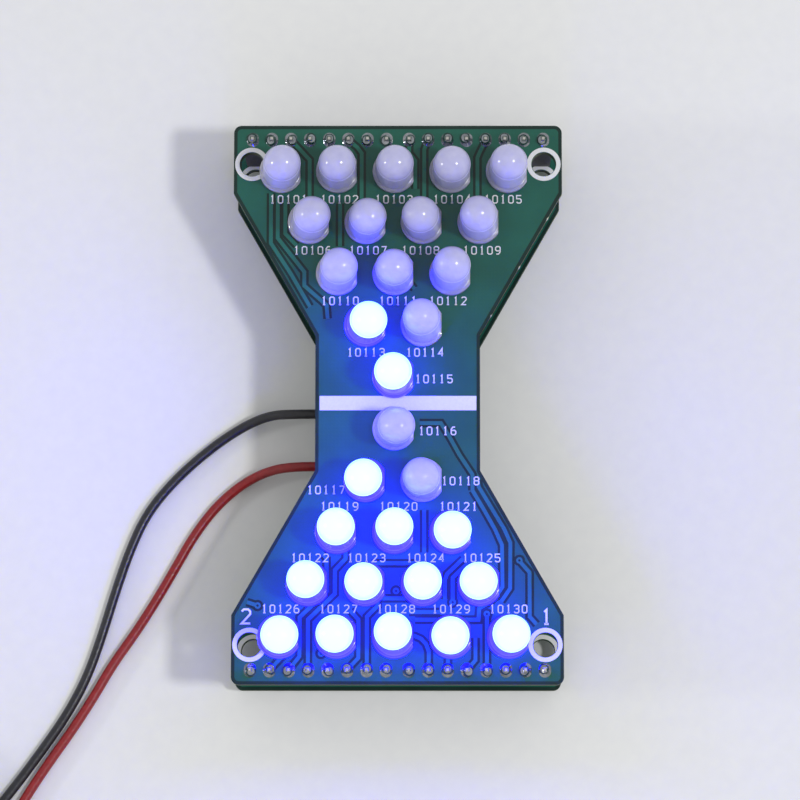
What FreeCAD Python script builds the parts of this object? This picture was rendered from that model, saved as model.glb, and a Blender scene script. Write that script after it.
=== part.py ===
import FreeCAD, Part
import math
import os

import Sketcher

# An electronic hourglass lying on its back: a display board with thirty round LEDs is plugged on
# a controller board of the same hourglass outline. X runs across, Y along the glass and Z up from
# the surface that it lies on. The origin is under the middle of the boards. All sizes are in mm.

Vector = FreeCAD.Vector

SIZES = [
    # The outline that both boards share, measured from their middle.
    ("board_width", 43.5, "boards across their wide ends"),
    ("board_height", 74.2, "boards from end to end"),
    ("shoulder_reach", 28.0, "middle to the start of a straight side"),
    ("neck_reach", 9.1, "middle to the end of the neck"),
    ("board_thickness", 1.6, "each board"),
    ("corner_radius", 1.0, "outer corners"),
    ("mount_radius", 1.6, "mounting holes"),
    ("mount_spacing_x", 38.7, "mounting holes across"),
    ("mount_spacing_y", 63.8, "mounting holes along"),
    # The stack, from the table up.
    ("joint_height", 1.5, "solder joints under the controller board"),
    ("socket_height", 8.5, "socket strips"),
    ("header_height", 2.5, "plastic of the pin headers"),
    # The two rows of pins that join the boards, two strips in each row.
    ("pin_pitch", 2.54, "pin to pin in a strip"),
    ("strip_gap", 2.97, "between the inner pins of a row's two strips"),
    ("row_spacing", 70.4, "between the two rows"),
    ("strip_width", 2.5, "headers and sockets across"),
    ("strip_notch", 0.35, "nicks between the pins of a header"),
    ("pin_side", 0.64, "square header pins"),
    ("pin_tip", 1.2, "pins above the display board"),
    ("pin_reach", 6.0, "pins below their header"),
    ("socket_floor", 1.0, "floor of a socket strip"),
    ("socket_lip", 1.2, "lip over a socket's contact"),
    ("socket_bore", 1.5, "chamber of a socket's contact"),
    ("socket_mouth", 0.9, "mouth of a socket"),
    ("contact_base", 0.4, "foot of a spring contact"),
    ("leaf_thickness", 0.2, "leaves of a spring contact"),
    ("leaf_width", 1.0, "leaves of a spring contact"),
    ("leaf_gap", 0.3, "contact leaves below the lip"),
    ("tail_side", 0.5, "square tails and component leads"),
    ("slip", 0.03, "between a pin and the leaves beside it"),
    ("chamber_slip", 0.1, "between a contact's foot and its chamber"),
    # Holes and solder.
    ("drill_clearance", 0.06, "between a lead's corner and its hole"),
    ("solder_land", 0.42, "solder beyond its hole"),
    ("pin_land", 0.14, "solder beyond a pin's hole, across"),
    ("pin_land_stretch", 0.62, "a pin's oval pad longer than wide"),
    ("solder_collar", 0.06, "solder round a lead at its tip"),
    ("solder_rise", 1.0, "solder joints on the display board"),
    ("joint_margin", 0.1, "other joints end this much above the lowest"),
    # The LEDs.
    ("led_pitch", 7.5, "LED to LED in a row"),
    ("led_shift", -0.45, "middle of the LEDs from the board's middle"),
    ("led_first_row", 3.45, "first rows from the middle"),
    ("led_row_step", 6.85, "row to row"),
    ("lens_radius", 2.45, "round body of an LED"),
    ("flange_radius", 2.9, "rim of an LED"),
    ("flange_height", 1.0, "rim of an LED"),
    ("flat_reach", 2.5, "axis to the flat on the rim"),
    ("led_height", 8.6, "rim's foot to the top of the dome"),
    ("lead_side", 0.5, "square LED leads"),
    ("lead_spacing", 2.54, "lead to lead"),
    ("lead_tail", 1.4, "leads below the display board"),
    # The chip and its socket.
    ("chip_row_spacing", 15.24, "leg row to leg row"),
    ("chip_socket_margin", 1.27, "socket beyond its contacts"),
    ("chip_socket_height", 4.2, "chip socket"),
    ("chip_socket_floor", 0.8, "floor under the contacts"),
    ("chip_socket_bar", 3.0, "cross bars of the chip socket"),
    ("chip_chamber", 1.4, "chamber of a chip contact"),
    ("chip_contact_base", 0.3, "foot of a chip contact"),
    ("chip_length", 52.2, "chip"),
    ("chip_width", 13.9, "chip"),
    ("chip_thickness", 3.8, "chip"),
    ("chip_standoff", 0.5, "chip above its socket"),
    ("chip_bevel", 0.3, "edges of the chip"),
    ("chip_notch_radius", 1.5, "notch at the chip's first leg"),
    ("chip_notch_depth", 0.6, "notch at the chip's first leg"),
    ("leg_thickness", 0.25, "chip legs"),
    ("leg_shoulder", 1.4, "upper part of a leg"),
    ("leg_width", 0.5, "lower part of a leg"),
    ("leg_reach", 2.6, "legs inside the socket"),
    # The clock crystal and its two capacitors.
    ("end_clearance", 0.9, "chip to the pieces past its ends"),
    ("crystal_length", 10.8, "base of the crystal"),
    ("crystal_width", 4.5, "base of the crystal"),
    ("crystal_rim", 0.4, "base beyond the can"),
    ("crystal_base", 0.6, "base of the crystal"),
    ("crystal_height", 3.6, "crystal"),
    ("side_clearance", 0.6, "between pieces that stand side by side"),
    ("crystal_lead_spacing", 4.88, "crystal leads"),
    ("disc_radius", 2.4, "disc capacitors"),
    ("disc_thickness", 2.3, "disc capacitors"),
    ("disc_edge", 0.92, "rounding of the disc capacitors"),
    ("disc_foot", 0.9, "discs above the board"),
    ("disc_step", 3.9, "disc to disc"),
    ("disc_lead_spacing", 2.54, "disc leads"),
    # The reset capacitor and resistor.
    ("can_radius", 2.5, "reset capacitor"),
    ("can_height", 7.0, "reset capacitor"),
    ("can_crimp", 0.25, "groove round its foot"),
    ("can_crimp_level", 1.25, "groove above the board"),
    ("can_shift", 7.2, "reset capacitor from the middle"),
    ("can_lead_spacing", 2.0, "reset capacitor leads"),
    ("resistor_radius", 1.2, "ends of the resistor"),
    ("resistor_waist", 1.0, "middle of the resistor"),
    ("resistor_length", 6.3, "resistor"),
    ("resistor_cap", 1.5, "each end of the resistor"),
    ("resistor_shift", -5.6, "resistor from the middle"),
    ("resistor_lead_spacing", 10.16, "resistor leads"),
    # The tilt switch, a can with two balls.
    ("tilt_radius", 2.5, "can"),
    ("tilt_wall", 0.3, "wall of the can"),
    ("tilt_length", 11.0, "can"),
    ("tilt_base", 2.0, "base of the can"),
    ("tilt_clearance", 0.7, "can to the chip socket"),
    ("tilt_reach", 16.2, "near end of the can from the middle"),
    ("tilt_lead_spacing", 2.54, "tilt switch leads"),
    ("tilt_lead_run", 0.9, "leads out of the base before they turn down"),
    ("ball_radius", 2.15, "balls"),
    ("ball_gap", 0.05, "between the balls"),
    # The side button.
    ("button_depth", 3.6, "housing across"),
    ("button_width", 6.0, "housing along"),
    ("button_height", 6.0, "housing"),
    ("button_reach", 24.0, "button from the middle"),
    ("button_inset", 0.1, "plunger's end inside the board's slanted side"),
    ("plunger_radius", 1.65, "plunger"),
    ("plunger_clearance", 0.1, "plunger to its bore"),
    ("plunger_axis", 3.3, "plunger above the board"),
    ("plunger_out", 1.1, "plunger out of the housing"),
    ("plunger_in", 2.0, "plunger inside the housing"),
    ("plunger_travel", 0.25, "travel"),
    ("button_lead_x", 2.2, "button leads across"),
    ("button_lead_y", 4.5, "button leads along"),
    # The supply wires.
    ("wire_radius", 0.65, "insulation"),
    ("strand_radius", 0.35, "tinned strands"),
    ("strip_length", 5.0, "bare far ends"),
    ("pad_inset", 1.0, "wire pads from the neck's side"),
    ("pad_gap", 0.11, "chip socket to the solder on a wire pad"),
    ("wire_lap", 0.1, "insulation starts outside the board's side"),
    ("pad_solder_radius", 0.85, "solder on a wire pad"),
    ("pad_solder_crown", 0.47, "top of the solder on a wire pad"),
    ("pad_solder_height", 1.15, "solder on a wire pad"),
    ("black_pad", 0.0, "black wire's pad along the board"),
    ("red_pad", -7.1, "red wire's pad along the board"),
    ("coil_mouth", 4.0, "straight run to a coil"),
    ("coil_radius", 8.2, "outer turn of a put-away coil"),
    ("coil_step", 1.8, "turn to turn in a coil"),
    ("coil_layer", 1.8, "layer to layer in a coil"),
]

PINS_PER_STRIP = 8
LEDS_PER_HALF = (1, 2, 3, 4, 5)
CHIP_LEGS_PER_SIDE = 20
SQUARE_TO_CORNER = math.sqrt(0.5)

doc = FreeCAD.newDocument("electronic_hourglass")
sheet = doc.addObject("Spreadsheet::Sheet", "Sizes")
for row, (alias, number, words) in enumerate(SIZES, 1):
    sheet.set(f"A{row}", words)
    sheet.set(f"B{row}", str(number))
    sheet.setAlias(f"B{row}", alias)
doc.recompute()


class Size:
    """A length and the sheet expression that it comes from."""

    def __init__(self, number, text):
        self.number = number
        self.text = text

    def __float__(self):
        return self.number

    def __add__(self, other):
        other = sized(other)
        return Size(self.number + other.number, f"({self.text} + {other.text})")

    def __sub__(self, other):
        other = sized(other)
        return Size(self.number - other.number, f"({self.text} - {other.text})")

    def __mul__(self, other):
        other = sized(other)
        return Size(self.number * other.number, f"({self.text} * {other.text})")

    def __truediv__(self, other):
        other = sized(other)
        return Size(self.number / other.number, f"({self.text} / {other.text})")

    def __neg__(self):
        return Size(-self.number, f"(0 - {self.text})")


def sized(value):
    """A Size as it is, or a plain number as a Size."""
    return value if isinstance(value, Size) else Size(float(value), str(float(value)))


def named(alias):
    """The Size held by a cell of the sheet."""
    return Size(float(sheet.get(alias)), f"Sizes.{alias}")


def mm(alias):
    """The plain number held by a cell of the sheet."""
    return float(sheet.get(alias))


# Levels above the table, each with its expression.
CONTROLLER_BOTTOM = named("joint_height")
CONTROLLER_TOP = CONTROLLER_BOTTOM + named("board_thickness")
HEADER_BOTTOM = CONTROLLER_TOP + named("socket_height")
DISPLAY_BOTTOM = HEADER_BOTTOM + named("header_height")
DISPLAY_TOP = DISPLAY_BOTTOM + named("board_thickness")

parts = []
cuts = []


def keep(item, label):
    """Marks an object as a finished piece and gives it the name of its file."""
    item.Label = label
    parts.append(item)
    return item


def place(item, x=None, y=None, z=None):
    """Ties an object's place to sheet expressions."""
    for axis, length in (("x", x), ("y", y), ("z", z)):
        if length is not None:
            item.setExpression(f"Placement.Base.{axis}", sized(length).text)
    return item


def feature(name, shape):
    """An object with a shape made by Part's own functions."""
    item = doc.addObject("Part::Feature", name)
    item.Shape = shape
    return item


def boxed(name, low, high):
    """A block between two corners, with its sides tied to the sheet."""
    item = doc.addObject("Part::Box", name)
    for side, a, b in zip(("Length", "Width", "Height"), low, high):
        item.setExpression(side, (sized(b) - a).text)
    return place(item, *low)


def cut(name, base, tool):
    """One object less another, noted so that the cut is proved later."""
    item = doc.addObject("Part::Cut", name)
    item.Base = base
    item.Tool = tool
    cuts.append((item, base))
    return item


def solid_box(x0, x1, y0, y1, z0, z1):
    """A plain block shape between two corners."""
    return Part.makeBox(x1 - x0, y1 - y0, z1 - z0, Vector(x0, y0, z0))


def post(side, z0, z1, x=0.0, y=0.0):
    """A plain square post shape standing at a point."""
    return solid_box(x - side / 2, x + side / 2, y - side / 2, y + side / 2, z0, z1)


def copies(shape, places, z=0.0):
    """A copy of a shape at each (x, y)."""
    return [shape.translated(Vector(x, y, z)) for x, y in places]


def sketch_in(body, role):
    """A sketch on one of a body's own origin planes."""
    plane = next(item for item in body.Origin.OriginFeatures if item.Role == role)
    sketch = body.newObject("Sketcher::SketchObject", body.Name + "_sketch")
    sketch.AttachmentSupport = (plane, [""])
    sketch.MapMode = "FlatFace"
    return sketch


def tie(sketch, geometry, vertex, spot, axes="xy"):
    """Ties a sketch vertex to its distances from the origin, or to an axis where one is 0."""
    for axis, kind, line, length in (
        ("x", "DistanceX", -2, spot[0]),
        ("y", "DistanceY", -1, spot[1]),
    ):
        if axis not in axes:
            continue
        if isinstance(length, Size):
            rule = Sketcher.Constraint(kind, -1, 1, geometry, vertex, float(length))
            index = sketch.addConstraint(rule)
            sketch.setExpression(f"Constraints[{index}]", length.text)
        else:
            sketch.addConstraint(Sketcher.Constraint("PointOnObject", geometry, vertex, line))


def flat(spot):
    """A sketch point of a pair of lengths."""
    return Vector(float(spot[0]), float(spot[1]), 0)


def outline(sketch, spots):
    """A closed outline of straight lines whose corners are tied to the sheet or the origin."""
    count = len(spots)
    for i in range(count):
        sketch.addGeometry(Part.LineSegment(flat(spots[i]), flat(spots[(i + 1) % count])))
    for i in range(count):
        sketch.addConstraint(Sketcher.Constraint("Coincident", i, 2, (i + 1) % count, 1))
        if spots[i] == (0, 0):
            sketch.addConstraint(Sketcher.Constraint("Coincident", i, 1, -1, 1))
        else:
            tie(sketch, i, 1, spots[i])


def circle(sketch, spot, radius):
    """A circle tied to the sheet."""
    index = sketch.addGeometry(Part.Circle(flat(spot), Vector(0, 0, 1), float(radius)))
    tie(sketch, index, 3, spot)
    rule = sketch.addConstraint(Sketcher.Constraint("Radius", index, float(radius)))
    sketch.setExpression(f"Constraints[{rule}]", radius.text)


def pad(body, sketch, length):
    """A pad up from its sketch."""
    item = body.newObject("PartDesign::Pad", body.Name + "_pad")
    item.Profile = sketch
    item.setExpression("Length", length.text)
    sketch.Visibility = False
    return item


def pocket(body, sketch, length, reversed_way):
    """A pocket of its sketch, noted so that the cut is proved later."""
    base = body.Tip
    item = body.newObject("PartDesign::Pocket", body.Name + "_pocket")
    item.Profile = sketch
    item.setExpression("Length", length.text)
    item.Reversed = reversed_way
    cuts.append((item, base))
    return item


def turned(body, sketch, axis):
    """A full revolution of its sketch about one of the sketch's axes."""
    item = body.newObject("PartDesign::Revolution", body.Name + "_turned")
    item.Profile = sketch
    item.ReferenceAxis = (sketch, [axis])
    item.Angle = 360
    return item


# Where the pins, leads and legs pass through the boards.


def pin_places():
    """The header pins of both rows, strip by strip."""
    places = []
    for side_y in (1, -1):
        for side_x in (-1, 1):
            for i in range(PINS_PER_STRIP):
                x = side_x * (mm("strip_gap") / 2 + i * mm("pin_pitch"))
                places.append((x, side_y * mm("row_spacing") / 2))
    return places


def led_spots():
    """Each LED's axis in reading order, as multiples of the pitch and as a row with its sign."""
    spots = []
    for sign, halves in ((1, reversed(LEDS_PER_HALF)), (-1, LEDS_PER_HALF)):
        for count in halves:
            for i in range(count):
                spots.append((i - (count - 1) / 2, sign, count - 1))
    return spots


def led_places():
    """Each LED's axis in mm."""
    return [
        (
            mm("led_shift") + column * mm("led_pitch"),
            sign * (mm("led_first_row") + row * mm("led_row_step")),
        )
        for column, sign, row in led_spots()
    ]


def led_lead_places():
    """Both leads of every LED."""
    half = mm("lead_spacing") / 2
    return [(x + side * half, y) for x, y in led_places() for side in (-1, 1)]


def chip_places():
    """The chip's legs, in two rows."""
    first = -(CHIP_LEGS_PER_SIDE - 1) / 2
    return [
        (side * mm("chip_row_spacing") / 2, (first + i) * mm("pin_pitch"))
        for side in (-1, 1)
        for i in range(CHIP_LEGS_PER_SIDE)
    ]


def slant_x(reach):
    """How far the boards' slanted sides are from the middle at a distance along the boards."""
    widening = named("board_width") / 2 - HALF_NECK
    share = (reach - named("neck_reach")) / (named("shoulder_reach") - named("neck_reach"))
    return HALF_NECK + widening * share


CHIP_END = named("chip_length") / 2
SOCKET_HALF_WIDTH = named("chip_row_spacing") / 2 + named("chip_socket_margin")
PAD_X = -(SOCKET_HALF_WIDTH + named("pad_gap") + named("pad_solder_radius"))
HALF_NECK = named("pad_inset") - PAD_X
TILT_X = -(SOCKET_HALF_WIDTH + named("tilt_clearance") + named("tilt_radius"))
TILT_MOUTH_Y = -(named("tilt_reach") + named("tilt_length"))
TILT_LEAD_Y = TILT_MOUTH_Y - named("tilt_base") - named("tilt_lead_run")
CRYSTAL_LEFT = TILT_X + named("tilt_radius") + named("side_clearance")
CRYSTAL_X = CRYSTAL_LEFT + named("crystal_length") / 2
CRYSTAL_Y = -(CHIP_END + named("end_clearance") + named("crystal_width") / 2)
DISC_LEFT = CRYSTAL_LEFT + named("crystal_length") + named("side_clearance")
DISC_X = DISC_LEFT + named("disc_thickness") / 2
DISC_Y = -(CHIP_END + named("end_clearance") + named("disc_radius"))
CAN_Y = CHIP_END + named("end_clearance") + named("can_radius")
RESISTOR_Y = CHIP_END + named("end_clearance") + named("resistor_radius")
BUTTON_END_X = slant_x(named("button_reach") - named("plunger_radius")) - named("button_inset")
BUTTON_FACE_X = BUTTON_END_X - named("plunger_out")
BUTTON_Y = -named("button_reach")
BUTTON_X = BUTTON_FACE_X - named("button_depth") / 2


def component_places():
    """The leads of the small parts on the controller board, each group by its own name."""
    crystal = mm("crystal_lead_spacing") / 2
    disc = mm("disc_lead_spacing") / 2
    can = mm("can_lead_spacing") / 2
    resistor = mm("resistor_lead_spacing") / 2
    tilt = mm("tilt_lead_spacing") / 2
    across = mm("button_lead_x") / 2
    along = mm("button_lead_y") / 2
    return {
        "crystal": [(float(CRYSTAL_X) + s * crystal, float(CRYSTAL_Y)) for s in (-1, 1)],
        "disc": [
            (float(DISC_X) + k * mm("disc_step"), float(DISC_Y) + s * disc)
            for k in (0, 1)
            for s in (-1, 1)
        ],
        "can": [(mm("can_shift") + s * can, float(CAN_Y)) for s in (-1, 1)],
        "resistor": [
            (mm("resistor_shift") + s * resistor, float(RESISTOR_Y)) for s in (-1, 1)
        ],
        "tilt": [(float(TILT_X) + s * tilt, float(TILT_LEAD_Y)) for s in (-1, 1)],
        "button": [
            (float(BUTTON_X) + s * across, float(BUTTON_Y) + t * along)
            for s in (-1, 1)
            for t in (-1, 1)
        ],
    }


def drills(name, holes, level):
    """Through holes for a list of (x, y, side of the square lead)."""
    thickness = mm("board_thickness")
    shapes = [
        Part.makeCylinder(
            side * SQUARE_TO_CORNER + mm("drill_clearance"), 3 * thickness, Vector(x, y, -thickness)
        )
        for x, y, side in holes
    ]
    return place(feature(name, Part.makeCompound(shapes)), z=level)


def board(label, level, holes):
    """A board: the hourglass outline with rounded ends, mounting holes and drilled leads."""
    body = doc.addObject("PartDesign::Body", label + "_blank")
    sketch = sketch_in(body, "XY_Plane")
    half_width = named("board_width") / 2
    half_height = named("board_height") / 2
    quarter = [
        (half_width, half_height),
        (half_width, named("shoulder_reach")),
        (HALF_NECK, named("neck_reach")),
    ]
    right = quarter + [(x, -y) for x, y in reversed(quarter)]
    outline(sketch, right + [(-x, y) for x, y in reversed(right)])
    blank = pad(body, sketch, named("board_thickness"))
    doc.recompute()
    corners = [
        f"Edge{i}"
        for i, edge in enumerate(blank.Shape.Edges, 1)
        if edge.BoundBox.ZLength > 0.9 * mm("board_thickness")
        and abs(edge.CenterOfMass.y) > 0.99 * mm("board_height") / 2
    ]
    rounded = body.newObject("PartDesign::Fillet", label + "_corners")
    rounded.Base = (blank, corners)
    rounded.setExpression("Radius", "Sizes.corner_radius")
    holes_sketch = sketch_in(body, "XY_Plane")
    for sx in (1, -1):
        for sy in (1, -1):
            spot = (named("mount_spacing_x") * sx / 2, named("mount_spacing_y") * sy / 2)
            circle(holes_sketch, spot, named("mount_radius"))
    pocket(body, holes_sketch, named("board_thickness"), True)
    place(body, z=level)
    return keep(cut(label, body, drills(label + "_drills", holes, level)), label)


def bored(mound, side, rise, direction, through):
    """A solder mound with the square hole of its lead, through it or just short of its tip."""
    depth = rise if through else rise - mm("joint_margin")
    low, high = sorted((0, direction * depth))
    return mound.cut(post(side, low, high))


def joint(side, rise, direction, through=True):
    """A solder cone at height 0 round a square lead, up or down."""
    foot = side * SQUARE_TO_CORNER + mm("drill_clearance") + mm("solder_land")
    tip = side * SQUARE_TO_CORNER + mm("solder_collar")
    cone = Part.makeCone(foot, tip, rise, Vector(0, 0, 0), Vector(0, 0, direction))
    return bored(cone, side, rise, direction, through)


def oval(width, length, level):
    """An oval ring with straight sides, its length along Y."""
    half, end = width / 2, (length - width) / 2
    spots = [(half, -end), (half, end), (-half, end), (-half, -end)]
    corners = [Vector(x, y, level) for x, y in spots]
    tops = [Vector(0, y, level) for y in (end + half, -end - half)]
    return Part.Wire(
        [
            Part.LineSegment(corners[0], corners[1]).toShape(),
            Part.Arc(corners[1], tops[0], corners[2]).toShape(),
            Part.LineSegment(corners[2], corners[3]).toShape(),
            Part.Arc(corners[3], tops[1], corners[0]).toShape(),
        ]
    )


def pin_joint(side, rise, direction, through=True):
    """A solder mound at height 0 on the oval pad of a pin, up or down."""
    stretch = mm("pin_land_stretch")
    corner = side * SQUARE_TO_CORNER
    foot = 2 * (corner + mm("drill_clearance") + mm("pin_land"))
    tip = 2 * (corner + mm("solder_collar"))
    rings = [oval(foot, foot + stretch, 0), oval(tip, tip + stretch / 3, direction * rise)]
    return bored(Part.makeLoft(rings, True, True), side, rise, direction, through)


def contact(gap, foot_side, foot, top, tail):
    """A spring contact at height 0: a foot, two leaves beside the pin and a tail below."""
    inner = gap / 2 + mm("slip")
    outer = inner + mm("leaf_thickness")
    half = mm("leaf_width") / 2
    shape = post(foot_side, 0, foot)
    for low, high in ((-outer, -inner), (inner, outer)):
        shape = shape.fuse(solid_box(low, high, -half, half, foot / 2, top))
    return shape.fuse(post(mm("tail_side"), -tail, foot / 2)).removeSplitter()


def display_side():
    """The display board with its LED leads, header pins and solder."""
    pin = mm("pin_side")
    lead = mm("lead_side")
    holes = [(x, y, pin) for x, y in pin_places()] + [(x, y, lead) for x, y in led_lead_places()]
    board("led_board", DISPLAY_BOTTOM, holes)
    below = mm("board_thickness") + mm("lead_tail")
    leads = copies(post(lead, -below, 0), led_lead_places())
    keep(place(feature("led_leads", Part.makeCompound(leads)), z=DISPLAY_TOP), "led_leads")
    deep = mm("board_thickness") + mm("header_height") + mm("pin_reach")
    pins = copies(post(pin, -deep, mm("pin_tip")), pin_places())
    keep(place(feature("header_pins", Part.makeCompound(pins)), z=DISPLAY_TOP), "header_pins")
    rise = mm("solder_rise")
    joints = copies(pin_joint(pin, rise, 1), pin_places())
    joints += copies(joint(lead, rise, -1), led_lead_places(), -mm("board_thickness"))
    solder = place(feature("led_board_solder", Part.makeCompound(joints)), z=DISPLAY_TOP)
    keep(solder, "led_board_solder")


def strip_centres():
    """The middle of each header strip."""
    x = mm("strip_gap") / 2 + (PINS_PER_STRIP - 1) / 2 * mm("pin_pitch")
    y = mm("row_spacing") / 2
    return [(sx * x, sy * y) for sy in (1, -1) for sx in (-1, 1)]


def pins_in_strip():
    """The pins of one strip, from its middle."""
    first = -(PINS_PER_STRIP - 1) / 2
    return [((first + i) * mm("pin_pitch"), 0.0) for i in range(PINS_PER_STRIP)]


def header_block():
    """The plastic of one header: a bar nicked between its pins, with a square hole for each."""
    pitch, width, notch = mm("pin_pitch"), mm("strip_width"), mm("strip_notch")
    left = -PINS_PER_STRIP * pitch / 2
    upper = []
    for i in range(PINS_PER_STRIP):
        start = left + i * pitch
        upper += [
            (start, width / 2 - notch),
            (start + notch, width / 2),
            (start + pitch - notch, width / 2),
        ]
    upper.append((left + PINS_PER_STRIP * pitch, width / 2 - notch))
    lower = [(x, -y) for x, y in reversed(upper)]
    ring = [Vector(x, y, 0) for x, y in upper + lower]
    block = Part.Face(Part.makePolygon(ring + ring[:1])).extrude(Vector(0, 0, mm("header_height")))
    return block.cut(copies(post(mm("pin_side"), 0, mm("header_height")), pins_in_strip()))


def socket_block():
    """The plastic of one socket strip: a bar with a chamber, mouth and tail hole for each pin."""
    half, width = PINS_PER_STRIP * mm("pin_pitch") / 2, mm("strip_width")
    height, floor = mm("socket_height"), mm("socket_floor")
    lip = height - mm("socket_lip")
    block = solid_box(-half, half, -width / 2, width / 2, 0, height)
    hollow = post(mm("socket_bore"), floor, lip)
    hollow = hollow.fuse([post(mm("socket_mouth"), lip, height), post(mm("tail_side"), 0, floor)])
    return block.cut(copies(hollow, pins_in_strip()))


def pin_rows():
    """The headers under the display board and the sockets on the controller board."""
    headers = Part.makeCompound(copies(header_block(), strip_centres()))
    keep(place(feature("pin_headers", headers), z=HEADER_BOTTOM), "pin_headers")
    sockets = Part.makeCompound(copies(socket_block(), strip_centres()))
    keep(place(feature("socket_strips", sockets), z=CONTROLLER_TOP), "socket_strips")
    floor = mm("socket_floor")
    through = mm("board_thickness") + mm("joint_height") - mm("joint_margin")
    top = mm("socket_height") - floor - mm("socket_lip") - mm("leaf_gap")
    foot = mm("socket_bore") - mm("chamber_slip")
    spring = contact(mm("pin_side"), foot, mm("contact_base"), top, floor + through)
    item = feature("socket_contacts", Part.makeCompound(copies(spring, pin_places())))
    keep(place(item, z=CONTROLLER_TOP + named("socket_floor")), "socket_contacts")
    mound = pin_joint(mm("tail_side"), mm("joint_height"), -1, through=False)
    mounds = Part.makeCompound(copies(mound, pin_places()))
    solder = place(feature("socket_solder", mounds), z=CONTROLLER_BOTTOM)
    keep(solder, "socket_solder")


def led(number, column, sign, row):
    """One round LED: a rim with a flat towards +X, a barrel and a dome."""
    label = f"led_{number:02d}"
    body = doc.addObject("PartDesign::Body", label)
    sketch = sketch_in(body, "XZ_Plane")
    rim, lens = named("flange_radius"), named("lens_radius")
    shelf = named("flange_height")
    barrel_top = named("led_height") - lens
    spots = [(0, 0), (rim, 0), (rim, shelf), (lens, shelf), (lens, barrel_top)]
    for i in range(4):
        sketch.addGeometry(Part.LineSegment(flat(spots[i]), flat(spots[i + 1])))
    centre = (0, barrel_top)
    dome = Part.Circle(flat(centre), Vector(0, 0, 1), float(lens))
    sketch.addGeometry(Part.ArcOfCircle(dome, 0, math.pi / 2))
    top = Vector(0, mm("led_height"), 0)
    sketch.addGeometry(Part.LineSegment(top, Vector(0, 0, 0)))
    for first, second in ((0, 1), (1, 2), (2, 3)):
        sketch.addConstraint(Sketcher.Constraint("Coincident", first, 2, second, 1))
    sketch.addConstraint(Sketcher.Constraint("Coincident", 3, 2, 4, 1))
    sketch.addConstraint(Sketcher.Constraint("Coincident", 4, 2, 5, 1))
    sketch.addConstraint(Sketcher.Constraint("Coincident", 5, 2, 0, 1))
    sketch.addConstraint(Sketcher.Constraint("Coincident", 0, 1, -1, 1))
    for i in (1, 2, 3):
        tie(sketch, i, 1, spots[i])
    tie(sketch, 4, 1, spots[4])
    tie(sketch, 4, 3, centre)
    tie(sketch, 4, 2, (0, 0), axes="x")
    turned(body, sketch, "V_Axis")
    flat_sketch = sketch_in(body, "XY_Plane")
    reach = named("flat_reach")
    outline(flat_sketch, [(reach, -rim), (rim * 2, -rim), (rim * 2, rim), (reach, rim)])
    pocket(body, flat_sketch, shelf, True)
    x = named("led_shift") + named("led_pitch") * column
    y = (named("led_first_row") + named("led_row_step") * row) * sign
    return keep(place(body, x, y, DISPLAY_TOP), label)


def chip_socket():
    """The chip's socket: a ladder frame with a chamber for each of its spring contacts."""
    half_width = SOCKET_HALF_WIDTH
    half_length = named("pin_pitch") * (CHIP_LEGS_PER_SIDE / 2)
    height = named("chip_socket_height")
    low, high = (-half_width, -half_length, 0), (half_width, half_length, height)
    frame = boxed("chip_socket_frame", low, high)
    inner = mm("chip_row_spacing") / 2 - mm("chip_socket_margin")
    bar = mm("chip_socket_bar")
    length = float(half_length)
    middle = [(-length + bar, -bar / 2), (bar / 2, length - bar)]
    openings = [solid_box(-inner, inner, a, b, 0, float(height)) for a, b in middle]
    floor = mm("chip_socket_floor")
    chamber = post(mm("chip_chamber"), floor, float(height))
    openings += copies(chamber.fuse(post(mm("tail_side"), 0, floor)), chip_places())
    tool = feature("chip_socket_openings", Part.makeCompound(openings))
    socket = cut("chip_socket", frame, tool)
    keep(place(socket, z=CONTROLLER_TOP), "chip_socket")
    through = mm("board_thickness") + mm("joint_height") - 2 * mm("joint_margin")
    foot = mm("chip_chamber") - mm("chamber_slip")
    top = float(height) - floor - mm("leaf_gap")
    spring = contact(mm("leg_thickness"), foot, mm("chip_contact_base"), top, floor + through)
    item = feature("chip_socket_contacts", Part.makeCompound(copies(spring, chip_places())))
    keep(place(item, z=CONTROLLER_TOP + named("chip_socket_floor")), "chip_socket_contacts")


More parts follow.
